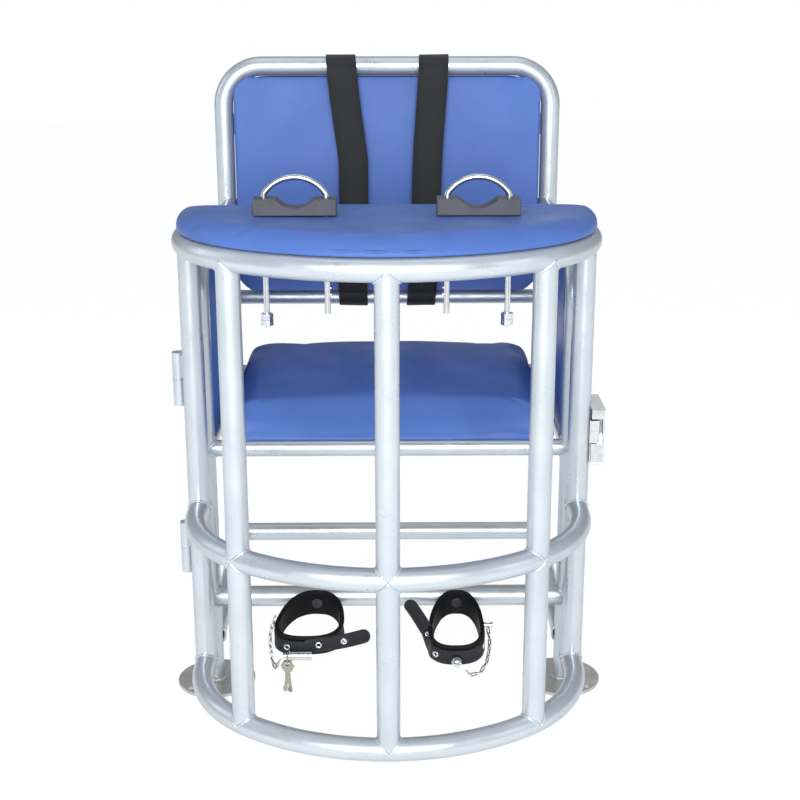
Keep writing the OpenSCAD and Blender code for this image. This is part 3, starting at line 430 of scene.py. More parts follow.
# ---------------------------------------------------------------- weld beads
SMALL, BIG = 12.5, 16      # tube radii, and all sizes from here to the cushions are millimetres
LEG_X, LEG_Y, BACK_X, BACK_Y = 272, 50, 278, 480
ARM_Z, SEAT_RAIL_Z, CUFF_RAIL_Z, FOOT_RAIL_Z, BACK_RAIL_Z = 689, 386.5, 144, 78, 524
FOOT_WELD_Z, FOOT_WELD_STEPS = 6.2, 60
SIDE_CX, SIDE_CY, SIDE_R, FRONT_CY, FRONT_R, RING_X = 67.5, -30, 212.5, 60, 325, 280
RING_Z = (60, 310, 722)
POST_X = 203
BEAD_STEPS, BEAD_SIDES = 84, 7


def bead(bm, origin, out, branch_r, centre, axis, main_r, size=1.7):
    """A rippled fillet where a branch tube leaves a main tube. Chair coordinates."""
    out, axis = Vector(out).normalized(), Vector(axis).normalized()
    origin, centre = Vector(origin), Vector(centre)
    u = axis - out * axis.dot(out)
    u = u.normalized() if u.length > 0.1 else out.orthogonal().normalized()
    w = out.cross(u)
    points, radii = [], []
    for i in range(BEAD_STEPS):
        t = 2 * math.pi * i / BEAD_STEPS
        o = origin + (u * math.cos(t) + w * math.sin(t)) * (branch_r + 0.2 * size)
        d, e = out - axis * out.dot(axis), (o - centre) - axis * (o - centre).dot(axis)
        a, b, c = d.dot(d), 2 * d.dot(e), e.dot(e) - (main_r + 0.2 * size) ** 2
        disc = b * b - 4 * a * c
        s = (-b + math.sqrt(max(disc, 0))) / (2 * a)
        q = o + out * max(s, 0.25 * size)
        points.append(P(*q))
        ripple = 0.26 * abs(math.sin(i * math.pi / 3.5))
        radii.append(size * MM * (0.86 + ripple + 0.12 * noise.noise(q * 0.12)))
    sweep(bm, points, radii, BEAD_SIDES)


def foot_weld(bm, s):
    """The rippled ring where a front leg stands on its plate."""
    turns = [2 * math.pi * i / FOOT_WELD_STEPS for i in range(FOOT_WELD_STEPS)]
    r = SMALL + 1
    line = [P(s * LEG_X + r * math.cos(a), LEG_Y + r * math.sin(a), FOOT_WELD_Z) for a in turns]
    sweep(bm, line, [MM * (2.3 + 0.7 * abs(math.sin(i * math.pi / 3))) for i in range(len(line))], BEAD_SIDES)


def weld_chair(bm):
    z_axis = (0, 0, 1)
    for s in (-1, 1):
        leg, upright = (s * LEG_X, LEG_Y, 0), (s * BACK_X, BACK_Y, 0)
        for z, r in ((SEAT_RAIL_Z, SMALL), (CUFF_RAIL_Z, BIG)):
            bead(bm, (s * LEG_X, LEG_Y, z), (-s, 0, 0), r, leg, z_axis, SMALL)
        for z, r in ((SEAT_RAIL_Z, SMALL), (FOOT_RAIL_Z, BIG)):
            bead(bm, (s * LEG_X, LEG_Y, z), (0, 1, 0), r, leg, z_axis, SMALL)
            bead(bm, (s * LEG_X, BACK_Y, z), (0, -1, 0), r, upright, z_axis, BIG)
        bead(bm, (s * LEG_X, BACK_Y, ARM_Z), (0, -1, 0), SMALL, upright, z_axis, BIG)
        for z, r in ((BACK_RAIL_Z, SMALL), (SEAT_RAIL_Z, SMALL), (FOOT_RAIL_Z, BIG)):
            bead(bm, (s * BACK_X, BACK_Y, z), (-s, 0, 0), r, upright, z_axis, BIG)
        foot_weld(bm, s)


def weld_gate(bm):
    post_a = -math.acos((POST_X - SIDE_CX) / SIDE_R)
    post_y = SIDE_CY + SIDE_R * math.sin(post_a)
    low, top = RING_Z[0], RING_Z[-1]
    for z in RING_Z:
        for up in [1] if z == low else [-1] if z == top else [-1, 1]:
            front = (0, FRONT_CY - FRONT_R, z)
            bead(bm, front, (0, 0, up), BIG, front, (1, 0, 0), BIG)
            for s in (-1, 1):
                post, stile = (s * POST_X, post_y, z), (s * RING_X, 0, z)
                bead(bm, post, (0, 0, up), BIG, post, (s * -math.sin(post_a), math.cos(post_a), 0), BIG)
                bead(bm, stile, (0, 0, up), BIG, stile, (0, 1, 0), BIG)
    for s in (-1, 1):
        rear_bar_end = (s * RING_X, 0, top)
        bead(bm, rear_bar_end, (-s, 0, 0), SMALL, rear_bar_end, (0, 1, 0), BIG, 2.0)


bm = bmesh.new()
weld_chair(bm)
chair_welds = new_object("chair_welds", bm, weld)
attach(chair_welds, "chair")

bm = bmesh.new()
weld_gate(bm)
gate_welds = new_object("gate_welds", bm, weld)
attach(gate_welds, "gate")


# ---------------------------------------------------------------- cushions
PAD_STEP = 8
CLOTH_PRESSURE, CLOTH_FRAMES = 4.0, 20
SEAT_CORNER, SEAT_EDGE = 30, 34
BACK_CORNER, BACK_EDGE = 47, 15
PANEL_BEND, PANEL_EDGE = 66.5, 9
TABLE_OVER, TABLE_CORNER, TABLE_EDGE, TABLE_INSET = 10, 22, 19, 24
RING_ARC = -53.1301       # degrees, where the rings' side arcs meet the front arc
BLOCK_AT, BLOCK_REACH = (0.121, -0.108), 0.055      # metres, the table under a wrist block stays flat


def resample(line, step):
    """A closed 2-D line with points about step apart."""
    pts = [Vector(p) for p in line]
    seg = [(pts[(i + 1) % len(pts)] - p).length for i, p in enumerate(pts)]
    total = sum(seg)
    n = int(total / step)
    out, i, run = [], 0, 0.0
    for k in range(n):
        at = total * k / n
        while run + seg[i] < at:
            run += seg[i]
            i += 1
        p, q = pts[i], pts[(i + 1) % len(pts)]
        out.append(p + (q - p) * ((at - run) / seg[i]))
    return out


def pad_solid(name, outline, thick, edge, place, top_rings=22, inset=None):
    """A closed pad in millimetres: flat base, straight wall, rounded edge and a top of closing rings.

    outline runs anticlockwise in 2-D, and place maps (a, b, c) to metres. edge is how far down the rounding
    reaches, and inset(p) how far in.
    """
    inset = inset or (lambda p: edge)
    line = resample(outline, PAD_STEP)
    n = len(line)
    inward = []
    for i, p in enumerate(line):
        t = (line[(i + 1) % n] - line[i - 1]).normalized()
        inward.append(Vector((-t.y, t.x)))
    mid = sum(line, Vector((0, 0))) / n
    wall = thick - edge
    rings = [(("in", 7), 0.0), (("in", 1.2), 0.0), (("in", 0.0), min(1.2, wall / 4))]
    rings += [(("in", 0.0), wall * k / 3) for k in (1, 2, 3)]
    rings += [(("round", 1 - math.cos(math.radians(a))), wall + edge * math.sin(math.radians(a)))
              for a in range(15, 91, 15)]
    rings += [(("to", (k / top_rings) ** 0.9), thick) for k in range(1, top_rings)]
    bm = bmesh.new()
    made = []
    for (kind, v), z in rings:
        row = []
        for p, d in zip(line, inward):
            rim = p + d * inset(p)
            if kind == "in":
                q = p + d * v
            elif kind == "round":
                q = p + (rim - p) * v
            else:
                q = rim + (mid - rim) * v
            row.append(bm.verts.new(place(q.x, q.y, z)))
        made.append(row)
    for lower, upper in zip(made, made[1:]):
        for k in range(n):
            j = (k + 1) % n
            bm.faces.new((lower[k], lower[j], upper[j], upper[k]))
    for row, z, flip in ((made[0], 0.0, True), (made[-1], thick, False)):
        tip = bm.verts.new(place(mid.x, mid.y, z))
        for k in range(n):
            j = (k + 1) % n
            bm.faces.new((tip, row[j], row[k]) if flip else (tip, row[k], row[j]))
    bmesh.ops.recalc_face_normals(bm, faces=bm.faces)
    return new_object(name, bm, vinyl)


def smooth_shade(o):
    for p in o.data.polygons:
        p.use_smooth = True


def inflate(o, cap, pinned):
    """Swells o with cloth pressure, holds the pinned points and caps how far any point may move."""
    start = [v.co.copy() for v in o.data.vertices]
    g = o.vertex_groups.new(name="pin")
    g.add([v.index for v in o.data.vertices if pinned(v.co)], 1.0, "REPLACE")
    c = o.modifiers.new("cloth", "CLOTH")
    c.settings.use_pressure = True
    c.settings.uniform_pressure_force = CLOTH_PRESSURE
    c.settings.vertex_group_mass = "pin"
    c.settings.effector_weights.gravity = 0
    c.settings.quality = 4
    c.point_cache.frame_start, c.point_cache.frame_end = 1, CLOTH_FRAMES
    for f in range(1, CLOTH_FRAMES + 1):
        bpy.context.scene.frame_set(f)
    apply_modifiers(o)
    bpy.context.scene.frame_set(1)
    o.vertex_groups.clear()
    for v, a in zip(o.data.vertices, start):
        d = v.co - a
        if d.length > cap * MM:
            v.co = a + d.normalized() * cap * MM
    smooth_shade(o)


def subdivide(o):
    s = o.modifiers.new("smooth", "SUBSURF")
    s.levels = s.render_levels = 1
    apply_modifiers(o)
    smooth_shade(o)


def inside(o, low, high):
    """Keeps every point in a box given in metres: low and high corners."""
    for v in o.data.vertices:
        v.co = Vector(max(a, min(b, c)) for a, b, c in zip(low, high, v.co))


def shape(o, f):
    """Moves every point of o to where f sends it."""
    for v in o.data.vertices:
        v.co = f(v.co)


def rounded(w, h, r):
    """A w by h rectangle about the origin with corners of radius r."""
    x, y = w / 2 - r, h / 2 - r
    pts = []
    for cx, cy, a in ((x, y, 0), (-x, y, 90), (-x, -y, 180), (x, -y, 270)):
        pts += arc(cx, cy, r, a, a + 90, 8)
    return pts


def finish_pad(o, fill, *nodes, body="chair"):
    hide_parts(*nodes)
    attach(o, body)


# Seat cushion: foam on its board, rolled over at the front
lo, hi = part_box("seat_cushion")
s_lo, s_hi = lo, hi
cx, cy, z_seat = (lo.x + hi.x) / 2, (lo.y + hi.y) / 2, lo.z
seat_half = (hi.x - lo.x) / MM / 2 - 2 - SEAT_CORNER


def seat_inset(p):
    """The rounding is shallow at the rear, and reaches far in across the middle of the front."""
    front = min(1, max(0, 0.5 - p.y / 200))
    middle = max(0, 1 - (p.x / seat_half) ** 2)
    return 14 + 12 * front + 46 * front * middle


seat = pad_solid("seat_upholstery", rounded((hi.x - lo.x) / MM - 4, (hi.y - lo.y) / MM - 4, SEAT_CORNER),
                 (hi.z - lo.z) / MM - 5, SEAT_EDGE,
                 lambda x, y, z: Vector((x * MM + cx, y * MM + cy, z * MM + z_seat)), inset=seat_inset)
inflate(seat, 7, lambda c: c.z < z_seat + 0.006)
subdivide(seat)


def seat_form(c):
    """Crowns the seat and gives its front corners fullness, pleats and a slight wave."""
    x, y = (c.x - cx) / (s_hi.x - cx), (c.y - s_lo.y) / (s_hi.y - s_lo.y)
    up = max(0.0, (c.z - z_seat) / (s_hi.z - s_lo.z))
    crown = 0.008 * (1 - min(1, x * x)) * (1 - min(1, ((y - 0.74) / 0.74) ** 2)) * up
    corner = math.exp(-(((abs(x) - 0.95) / 0.11) ** 2) - (((y - 0.03) / 0.08) ** 2))
    turn = math.atan2(c.y - s_lo.y - 0.03, abs(c.x - cx) - (s_hi.x - cx) + 0.03)
    pleat = 0.0007 * corner * math.sin(16 * turn) * min(1.0, 2.2 * up)
    wave = 0.0008 * noise.noise(c * 11) * up
    out = math.copysign(0.0035 * corner + pleat, x)
    return Vector((c.x + out, c.y - 0.003 * corner - pleat, c.z + crown + wave))


shape(seat, seat_form)
inside(seat, (lo.x - 0.0009, lo.y - 0.008, lo.z), (hi.x + 0.0009, hi.y + 0.0008, hi.z + 0.009))
finish_pad(seat, 0.7, "seat_cushion")

# Back cushion: its rear face stops 1.2 mm short of the board's, so that only one of them shows
lo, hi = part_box("back_cushion")
b_lo, b_hi = lo, hi
bx, bz, y_back = (lo.x + hi.x) / 2, (lo.z + hi.z) / 2, hi.y
back_line = rounded((hi.x - lo.x) / MM - 3, (hi.z - lo.z) / MM - 3, BACK_CORNER)[::-1]
back = pad_solid("back_upholstery", back_line, (hi.y - lo.y) / MM - 5, BACK_EDGE,
                 lambda x, y, z: Vector((x * MM + bx, y_back - z * MM, y * MM + bz)))
inflate(back, 7, lambda c: c.y > y_back - 0.013)
subdivide(back)


def back_form(c):
    """Swells the back's middle and presses a shallow channel under each strap."""
    x, z = (c.x - bx) / ((b_hi.x - b_lo.x) / 2), (c.z - bz) / ((b_hi.z - b_lo.z) / 2)
    out = max(0.0, (y_back - c.y) / (b_hi.y - b_lo.y))
    sag = 0.0
    for s in (-1, 1):
        at = s * (0.0665 + 0.008 * z)
        sag += 0.0014 * math.exp(-(((c.x - at) / 0.026) ** 4))
    swell = 0.0035 * (1 - min(1, x * x)) * (1 - min(1, z * z))
    return Vector((c.x, c.y + (sag + 0.0009 * noise.noise(c * 10) - swell) * out, c.z))


shape(back, back_form)
inside(back, (lo.x - 0.0002, lo.y - 0.007, lo.z - 0.0008), (hi.x + 0.0002, hi.y - 0.0012, hi.z + 0.0006))
finish_pad(back, 0.6, "back_cushion")

# Side panels: padded lining inside each arm, with the arm's bend at the upper front corner
for side, node in ((-1, "left_panel_pad"), (1, "right_panel_pad")):
    lo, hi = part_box(node)
    y0, y1, z0, z1, r = lo.y / MM, hi.y / MM, lo.z / MM, hi.z / MM, PANEL_BEND
    line = [(y0 + 1, z0 + 1), (y1 - 1, z0 + 1), (y1 - 1, z1 - 1)] + arc(y0 + r, z1 - r, r - 1, 90, 180, 12)
    x_wall = lo.x if side < 0 else hi.x
    o = pad_solid(node + "_upholstery", line if side < 0 else line[::-1], (hi.x - lo.x) / MM - 3, PANEL_EDGE,
                  lambda y, z, t: Vector((x_wall - side * t * MM, y * MM, z * MM)), top_rings=16)
    inflate(o, 4, lambda c: abs(c.x - x_wall) < 0.007)
    subdivide(o)
    left, right = (0, 0.0008) if side < 0 else (0.0008, 0)
    inside(o, (lo.x - left, lo.y, lo.z), (hi.x + right, hi.y, hi.z))
    finish_pad(o, 0.5, node)


# Table pad: it follows the gate's rings, a little beyond them
def table_line(grow):
    """The table's outline, grow millimetres out from the line of its rings."""
    c = TABLE_CORNER + grow - TABLE_OVER
    rear = grow - TABLE_OVER
    half = arc(RING_X + grow - c, rear - c, c, 90, 0, 8)
    half += arc(SIDE_CX, SIDE_CY, SIDE_R + grow, 0, RING_ARC, 14)
    half += arc(0, FRONT_CY, FRONT_R + grow, RING_ARC, -90, 9)[1:]
    return half + [(-x, y) for x, y in half[-2::-1]]


def table_pinned(c):
    """The pad's foot, and the rounds on which the wrist blocks stand."""
    return c.z < z_table + 0.007 or math.hypot(abs(c.x) - BLOCK_AT[0], c.y - Y0 - BLOCK_AT[1]) < BLOCK_REACH


def table_form(c):
    return Vector((c.x, c.y, c.z + (0.0007 * noise.noise(c * 12) if c.z > z_table + 0.012 else 0)))


lo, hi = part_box("table_pad")
z_table = lo.z
table = pad_solid("table_upholstery", table_line(TABLE_OVER - 1.5)[::-1], (hi.z - lo.z) / MM - 1, TABLE_EDGE,
                  lambda x, y, z: P(x, y, z_table / MM + z), inset=lambda p: TABLE_INSET)
inflate(table, 3, table_pinned)
subdivide(table)
shape(table, table_form)
inside(table, (lo.x - 0.004, lo.y - 0.004, lo.z), (hi.x + 0.004, hi.y + 0.0008, hi.z + 0.0004))
finish_pad(table, 0.6, "table_pad", body="gate")


# ---------------------------------------------------------------- straps
STRAP_W, STRAP_T, STRAP_CLEAR = 0.050, 2.4, 0.6
STRAP_TOP_Z, STRAP_LOW_Z, TOP_BAR_Z = 905, 541, 922
STRAP_KINK = 0.6      # the share of the strap's height at which it changes direction
SELVEDGE, RIBBON_MID = 0.0006, 0.45


def ribbon_section(half, t):
    """A flat section of the given half width and half thickness, thin at its selvedges."""
    across = (-half + SELVEDGE, -half * RIBBON_MID, 0, half * RIBBON_MID, half - SELVEDGE)
    return [(-half, 0)] + [(a, t) for a in across] + [(half, 0)] + [(a, -t) for a in across[::-1]]


def ribbon(name, centres, acrosses, normals, widths, thicks, material):
    """Flat webbing with rounded selvedges; UV is metres: u across, v along."""
    bm = bmesh.new()
    uv = bm.loops.layers.uv.new("UVMap")
    rings, length, lengths, section = [], 0.0, [], []
    for i, c in enumerate(centres):
        section = ribbon_section(widths[i] / 2, thicks[i] / 2)
        if i:
            length += (c - centres[i - 1]).length
        lengths.append(length)
        rings.append([bm.verts.new(c + acrosses[i] * a + normals[i] * b) for a, b in section])
    n = len(section)
    for i in range(len(rings) - 1):
        for k in range(n):
            j = (k + 1) % n
            f = bm.faces.new((rings[i][k], rings[i][j], rings[i + 1][j], rings[i + 1][k]))
            u0, u1, v0, v1 = section[k][0], section[j][0], lengths[i], lengths[i + 1]
            for loop, place in zip(f.loops, ((u0, v0), (u1, v0), (u1, v1), (u0, v1))):
                loop[uv].uv = place
    bm.faces.new(rings[0][::-1])
    bm.faces.new(rings[-1])
    return new_object(name, bm, material)


def strap_loop():
    """The closed (y, z) line of a strap: over the top bar, down the cushion, round the low rail and up."""
    r_top, r_low = BIG + STRAP_CLEAR + STRAP_T / 2, SMALL + STRAP_CLEAR + STRAP_T / 2
    front_y = b_lo.y / MM - Y0 / MM - 2.6
    loop = arc(BACK_Y, TOP_BAR_Z, r_top, 0, 180, 22)
    n = 26
    for i in range(n + 1):
        z = STRAP_TOP_Z + 2 + (STRAP_LOW_Z - 4 - STRAP_TOP_Z) * i / n
        loop.append((front_y - 3.2 * math.sin(math.pi * i / n), z))
    loop += arc(BACK_Y, BACK_RAIL_Z, r_low, 180, 360, 18)
    n = 18
    for i in range(1, n):
        z = BACK_RAIL_Z + (TOP_BAR_Z - BACK_RAIL_Z) * i / n
        loop.append((BACK_Y + r_low + (r_top - r_low) * i / n, z))
    return loop + [loop[0]]


def strap(side, node, x_top, x_mid, x_low):
    """One loop of webbing that passes x_low, x_mid and x_top on its way up, with a slight weave and twist."""
    centres, acrosses, normals = [], [], []
    for y, z in strap_loop():
        k = (z - STRAP_LOW_Z) / (TOP_BAR_Z - STRAP_LOW_Z)
        if k < STRAP_KINK:
            x = x_low + (x_mid - x_low) * min(1, k / STRAP_KINK)
        else:
            x = x_mid + (x_top - x_mid) * (k - STRAP_KINK) / 0.4
        centres.append(P(x + 0.9 * math.sin(z * 0.021 + side), y, z))
    for i in range(len(centres)):
        a = centres[i - 1] if i else centres[-2]
        b = centres[i + 1] if i < len(centres) - 1 else centres[1]
        tangent = (b - a).normalized()
        across = Vector((1, 0, 0))
        across = (across - tangent * across.dot(tangent)).normalized()
        twist = 0.02 * math.sin(i * 0.7 + side)
        normal = tangent.cross(across)
        across = (across * math.cos(twist) + normal * math.sin(twist)).normalized()
        acrosses.append(across)
        normals.append(tangent.cross(across).normalized())
    n = len(centres)
    o = ribbon(node + "_webbing", centres, acrosses, normals, [STRAP_W] * n, [STRAP_T * MM] * n, webbing)
    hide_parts(node)
    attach(o, "chair")


strap(-1, "left_strap", -76, -58, -60)
strap(1, "right_strap", 77, 69, 60)

# ---------------------------------------------------------------- wrist blocks, chains and the dome lock
SADDLE_R, SADDLE_DEPTH = 32, 12
HOOP_LEG_X, HOOP_HOLE_R = 0.041, 0.0045
KEYWAY_X, KEYWAY_SIZE = 0.0441, (0.0062, 0.0054, 0.010)      # half of its height is in the block
LINK_PITCH, LINK_HALF_W, LINK_WIRE = 0.009, 0.0031, 0.00105
LEFT_CHAIN = ((-171.4, -18, 141), (-178.5, -26, 119), (-178, -36, 103),
              (-175.5, -46, 84), (-169.8, -56, 75), (-161.2, -64, 93))
RIGHT_CHAIN = ((150.8, -14, 118.5), (153, -30, 101), (148, -50, 82),
               (137, -66, 71), (122, -72, 70), (110.5, -72, 83))
DOME_X, DOME_Y, DOME_Z = 101, -62.9, 91
DOME_COLLAR = [(0, 0), (0.0068, 0), (0.0068, 0.0056), (0.0078, 0.0060), (0.0078, 0.0092), (0.0070, 0.0096)]
DOME_TIP = 0.0158


def cut(o, tool):
    """Takes tool out of o and removes it."""
    b = o.modifiers.new("cut", "BOOLEAN")
    b.operation, b.solver, b.object = "DIFFERENCE", "EXACT", tool
    apply_modifiers(o)
    mesh = tool.data
    bpy.data.objects.remove(tool)
    bpy.data.meshes.remove(mesh)


def prism(bm, outline, place, depth):
    """A solid between two copies of a 2-D outline."""
    ends = [[bm.verts.new(place(a, b, d)) for a, b in outline] for d in (0, depth)]
    n = len(outline)
    for k in range(n):
        bm.faces.new((ends[0][k], ends[0][(k + 1) % n], ends[1][(k + 1) % n], ends[1][k]))
    bm.faces.new(ends[0][::-1])
    bm.faces.new(ends[1])
    bmesh.ops.recalc_face_normals(bm, faces=bm.faces)


def cut_hoop_holes(o, mid, foot_z):
    """The two leg holes, and the keyway of the catch teeth on the side of the chair's middle."""
    holes = bmesh.new()
    profile = [(0, -0.01), (HOOP_HOLE_R, -0.01), (HOOP_HOLE_R, 0.06), (0, 0.06)]
    for s in (-1, 1):
        lathe(holes, profile, Vector((mid.x + s * HOOP_LEG_X, mid.y, foot_z)), (0, 0, 1), 24)
    bmesh.ops.recalc_face_normals(holes, faces=holes.faces)
    cut(o, new_object("holes", holes, plastic))
    inner = 1 if mid.x < 0 else -1
    w, d, h = KEYWAY_SIZE
    keyway = bmesh.new()
    bmesh.ops.create_cube(keyway, size=1)
    for v in keyway.verts:
        v.co = Vector((mid.x + inner * (KEYWAY_X + w * v.co.x), mid.y + d * v.co.y, foot_z + h * v.co.z))
    bmesh.ops.recalc_face_normals(keyway, faces=keyway.faces)
    cut(o, new_object("keyway", keyway, plastic))


def wrist_block(node):
    """A moulded block with a saddle across its top, broken edges and the hoop's holes."""
    lo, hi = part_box(node)
    mid, half, h, dip, r = (lo + hi) / 2, (hi.x - lo.x) / 2, hi.z - lo.z, SADDLE_DEPTH * MM, SADDLE_R * MM
    reach = math.sqrt(r * r - (r - dip) ** 2)
    sweep_a = math.degrees(math.asin(reach / r))
    saddle = arc(0, h - dip + r, r, -90 + sweep_a, -90 - sweep_a, 20)
    outline = [(-half, 0), (half, 0), (half, h)] + saddle + [(-half, h)]
    bm = bmesh.new()
    prism(bm, outline, lambda a, b, d: Vector((mid.x + a, lo.y + d, lo.z + b)), hi.y - lo.y)
    sharp = [e for e in bm.edges if len(e.link_faces) == 2 and e.calc_face_angle() > math.radians(25)]
    bmesh.ops.bevel(bm, geom=sharp, offset=0.0011, segments=2, profile=0.5, affect="EDGES")
    o = new_object(node + "_moulding", bm, plastic, False)
    cut_hoop_holes(o, mid, lo.z)
    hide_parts(node)
    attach(o, "gate")


for node in ("left_wrist_block", "right_wrist_block"):
    wrist_block(node)


def link_line(mid, along, side, half_l):
    """The closed middle line of one link, an oval with straightish flanks."""
    line = []
    for k in range(28):
        c, n = math.cos(2 * math.pi * k / 28), math.sin(2 * math.pi * k / 28)
        out = side * math.copysign(abs(n) ** 0.7, n) * (LINK_HALF_W - LINK_WIRE)
        line.append(mid + along * math.copysign(abs(c) ** 0.8, c) * half_l + out)
    return line


def chain(node, path):
    """Long welded links laid joint to joint along a hanging path, each turned a quarter from the last."""
    pts = [P(*p) for p in path]
    runs = [0.0]
    for a, b in zip(pts, pts[1:]):
        runs.append(runs[-1] + (b - a).length)

    def at(s):
        for i in range(len(pts) - 1):
            if s <= runs[i + 1] or i == len(pts) - 2:
                return pts[i] + (pts[i + 1] - pts[i]) * ((s - runs[i]) / (runs[i + 1] - runs[i]))

    bm = bmesh.new()
    for i in range(int(runs[-1] / LINK_PITCH)):
        a, b = at(i * LINK_PITCH), at((i + 1) * LINK_PITCH)
        along = (b - a).normalized()
        side = Vector((0, 0, 1)).cross(along).normalized()
        side = Matrix.Rotation(math.radians(90 * (i % 2) + 35), 3, along) @ side
        sweep(bm, link_line((a + b) / 2, along, side, LINK_PITCH / 2 + 1.3 * LINK_WIRE), LINK_WIRE, 8)
    o = new_object(node + "_links", bm, link_metal)
    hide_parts(node)
    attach(o, "chair")


chain("left_cuff_chain", LEFT_CHAIN)
chain("right_cuff_chain", RIGHT_CHAIN)


def dome_lock():
    """The right cuff's lock: a collar and a slotted dome that face forward."""
    turns = [math.radians(a) for a in range(10, 81, 10)]
    cap = [(0.0072 * math.cos(a), 0.0098 + 0.0060 * math.sin(a)) for a in turns]
    bm = bmesh.new()
    lathe(bm, DOME_COLLAR + cap + [(0, DOME_TIP)], P(DOME_X, DOME_Y, DOME_Z), (0, -1, 0), 40)
    bmesh.ops.recalc_face_normals(bm, faces=bm.faces)
    dome = new_object("right_cuff_dome", bm, bright)
    bm = bmesh.new()
    bmesh.ops.create_cube(bm, size=1)
    tool = new_object("slot", bm, dark_metal, False)
    place = Matrix.Translation(P(DOME_X, DOME_Y - 16, DOME_Z + 1))
    turn = Matrix.Rotation(math.radians(12), 4, "Y")
    tool.matrix_world = place @ turn @ Matrix.Diagonal((0.013, 0.007, 0.0019, 1))
    bpy.context.view_layer.update()
    cut(dome, tool)
    smooth_shade(dome)
    return dome


dome = dome_lock()
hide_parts("right_cuff_lock")
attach(dome, "chair")

# ---------------------------------------------------------------- ankle cuffs
CUFF_BACK_Y, CUFF_TAPER, OVAL_POWER, BAND_T = 33.7, 0.4, 2.6, 8
RIM_R = 3.5
CUFF_STRAP_W, CUFF_NOSE, CUFF_DROP = 23, 11, -4
CUTTER_PROFILE = [(0, -0.006), (0.0026, -0.006), (0.0026, 0.006), (0, 0.006)]
EYELET_PROFILE = [(0.0023, -0.0018), (0.0023, 0.0012), (0.0029, 0.0020), (0.0041, 0.0022), (0.0051, 0.0014),
                  (0.0052, 0.0008), (0.0030, 0.0004), (0.0027, -0.0018), (0.0023, -0.0018)]


class Cuff:
    """The cuff's band as a formula: where a point lies at turn t, out from the band's middle and up."""

    def __init__(self, x, width, depth, droop, skew):
        self.x, self.width, self.depth, self.droop, self.skew = x, width, depth, droop, skew

    def middle(self, t):
        a = math.radians(360 * t + 90)
        c, n, k = math.cos(a), math.sin(a), 2 / OVAL_POWER
        ox = math.copysign(abs(c) ** k, c) * (self.width - BAND_T) / 2
        oy = math.copysign(abs(n) ** k, n) * (self.depth - BAND_T) / 2
        back = oy / self.depth + 0.5
        return Vector((self.x + ox * (1 - CUFF_TAPER * back) + self.skew * back,
                       CUFF_BACK_Y - self.depth / 2 + oy, CUFF_RAIL_Z + self.droop * (back - 1)))

    def half_height(self, t):
        return 15 + 5 * (math.cos(math.radians(360 * t)) / 2 + 0.5)

    def outward(self, t):
        d = self.middle(t + 0.004) - self.middle(t - 0.004)
        return Vector((d.y, -d.x, 0)).normalized()

    def turns(self, step, t0=0.0, t1=1.0):
        """Turns from t0 to t1 that lie about step millimetres apart along the band."""
        fine = [t0 + (t1 - t0) * i / 600 for i in range(601)]
        pts = [self.middle(t) for t in fine]
        out, run, goal = [t0], 0.0, step
        for a, b, t in zip(pts, pts[1:], fine[1:]):
            run += (b - a).length
            if run >= goal:
                out.append(t)
                goal += step
        return out


def rim_section(h):
    """The lining's section: a thin wall between two rolled rims, (outward, up) in millimetres."""
    r = RIM_R
    over = [math.radians(a) for a in range(-30, 211, 30)]
    under = [math.radians(a) for a in range(150, 391, 30)]
    top = [(r * math.cos(a) + 0.2, h - r + r * math.sin(a)) for a in over]
    low = [(r * math.cos(a) + 0.2, -h + r + r * math.sin(a)) for a in under]
    inner_wall = [(-2.9, h * 0.35), (-2.7, 0), (-2.9, -h * 0.35)]
    outer_wall = [(0.8, -h * 0.5), (0.8, 0), (0.8, h * 0.5)]
    return top + inner_wall + low + outer_wall


def cuff_lining(name, cuff, node):
    bm = bmesh.new()
    rings = []
    for t in cuff.turns(3.0)[:-1]:
        c, out, h = cuff.middle(t), cuff.outward(t), cuff.half_height(t)
        ripple = 0.35 * noise.noise(Vector((t * 34, h, cuff.x * 0.01)))
        rings.append([bm.verts.new(P(*(c + out * (u + ripple) + Vector((0, 0, v + 0.5 * ripple)))))
                      for u, v in rim_section(h)])
    for a, b in zip(rings, rings[1:] + rings[:1]):
        for k in range(len(a)):
            j = (k + 1) % len(a)
            bm.faces.new((a[k], a[j], b[j], b[k]))
    bmesh.ops.recalc_face_normals(bm, faces=bm.faces)
    o = new_object(name, bm, neoprene)
    subdivide(o)
    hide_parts(node)
    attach(o, "chair")


def flow(a, b, c, d, t):
    """A point at share t of the smooth curve between b and c, with a and d as its neighbours."""
    square, cube = 2 * a - 5 * b + 4 * c - d, 3 * b - a - 3 * c + d
    return 0.5 * ((2 * b) + (c - a) * t + square * t * t + cube * t ** 3)


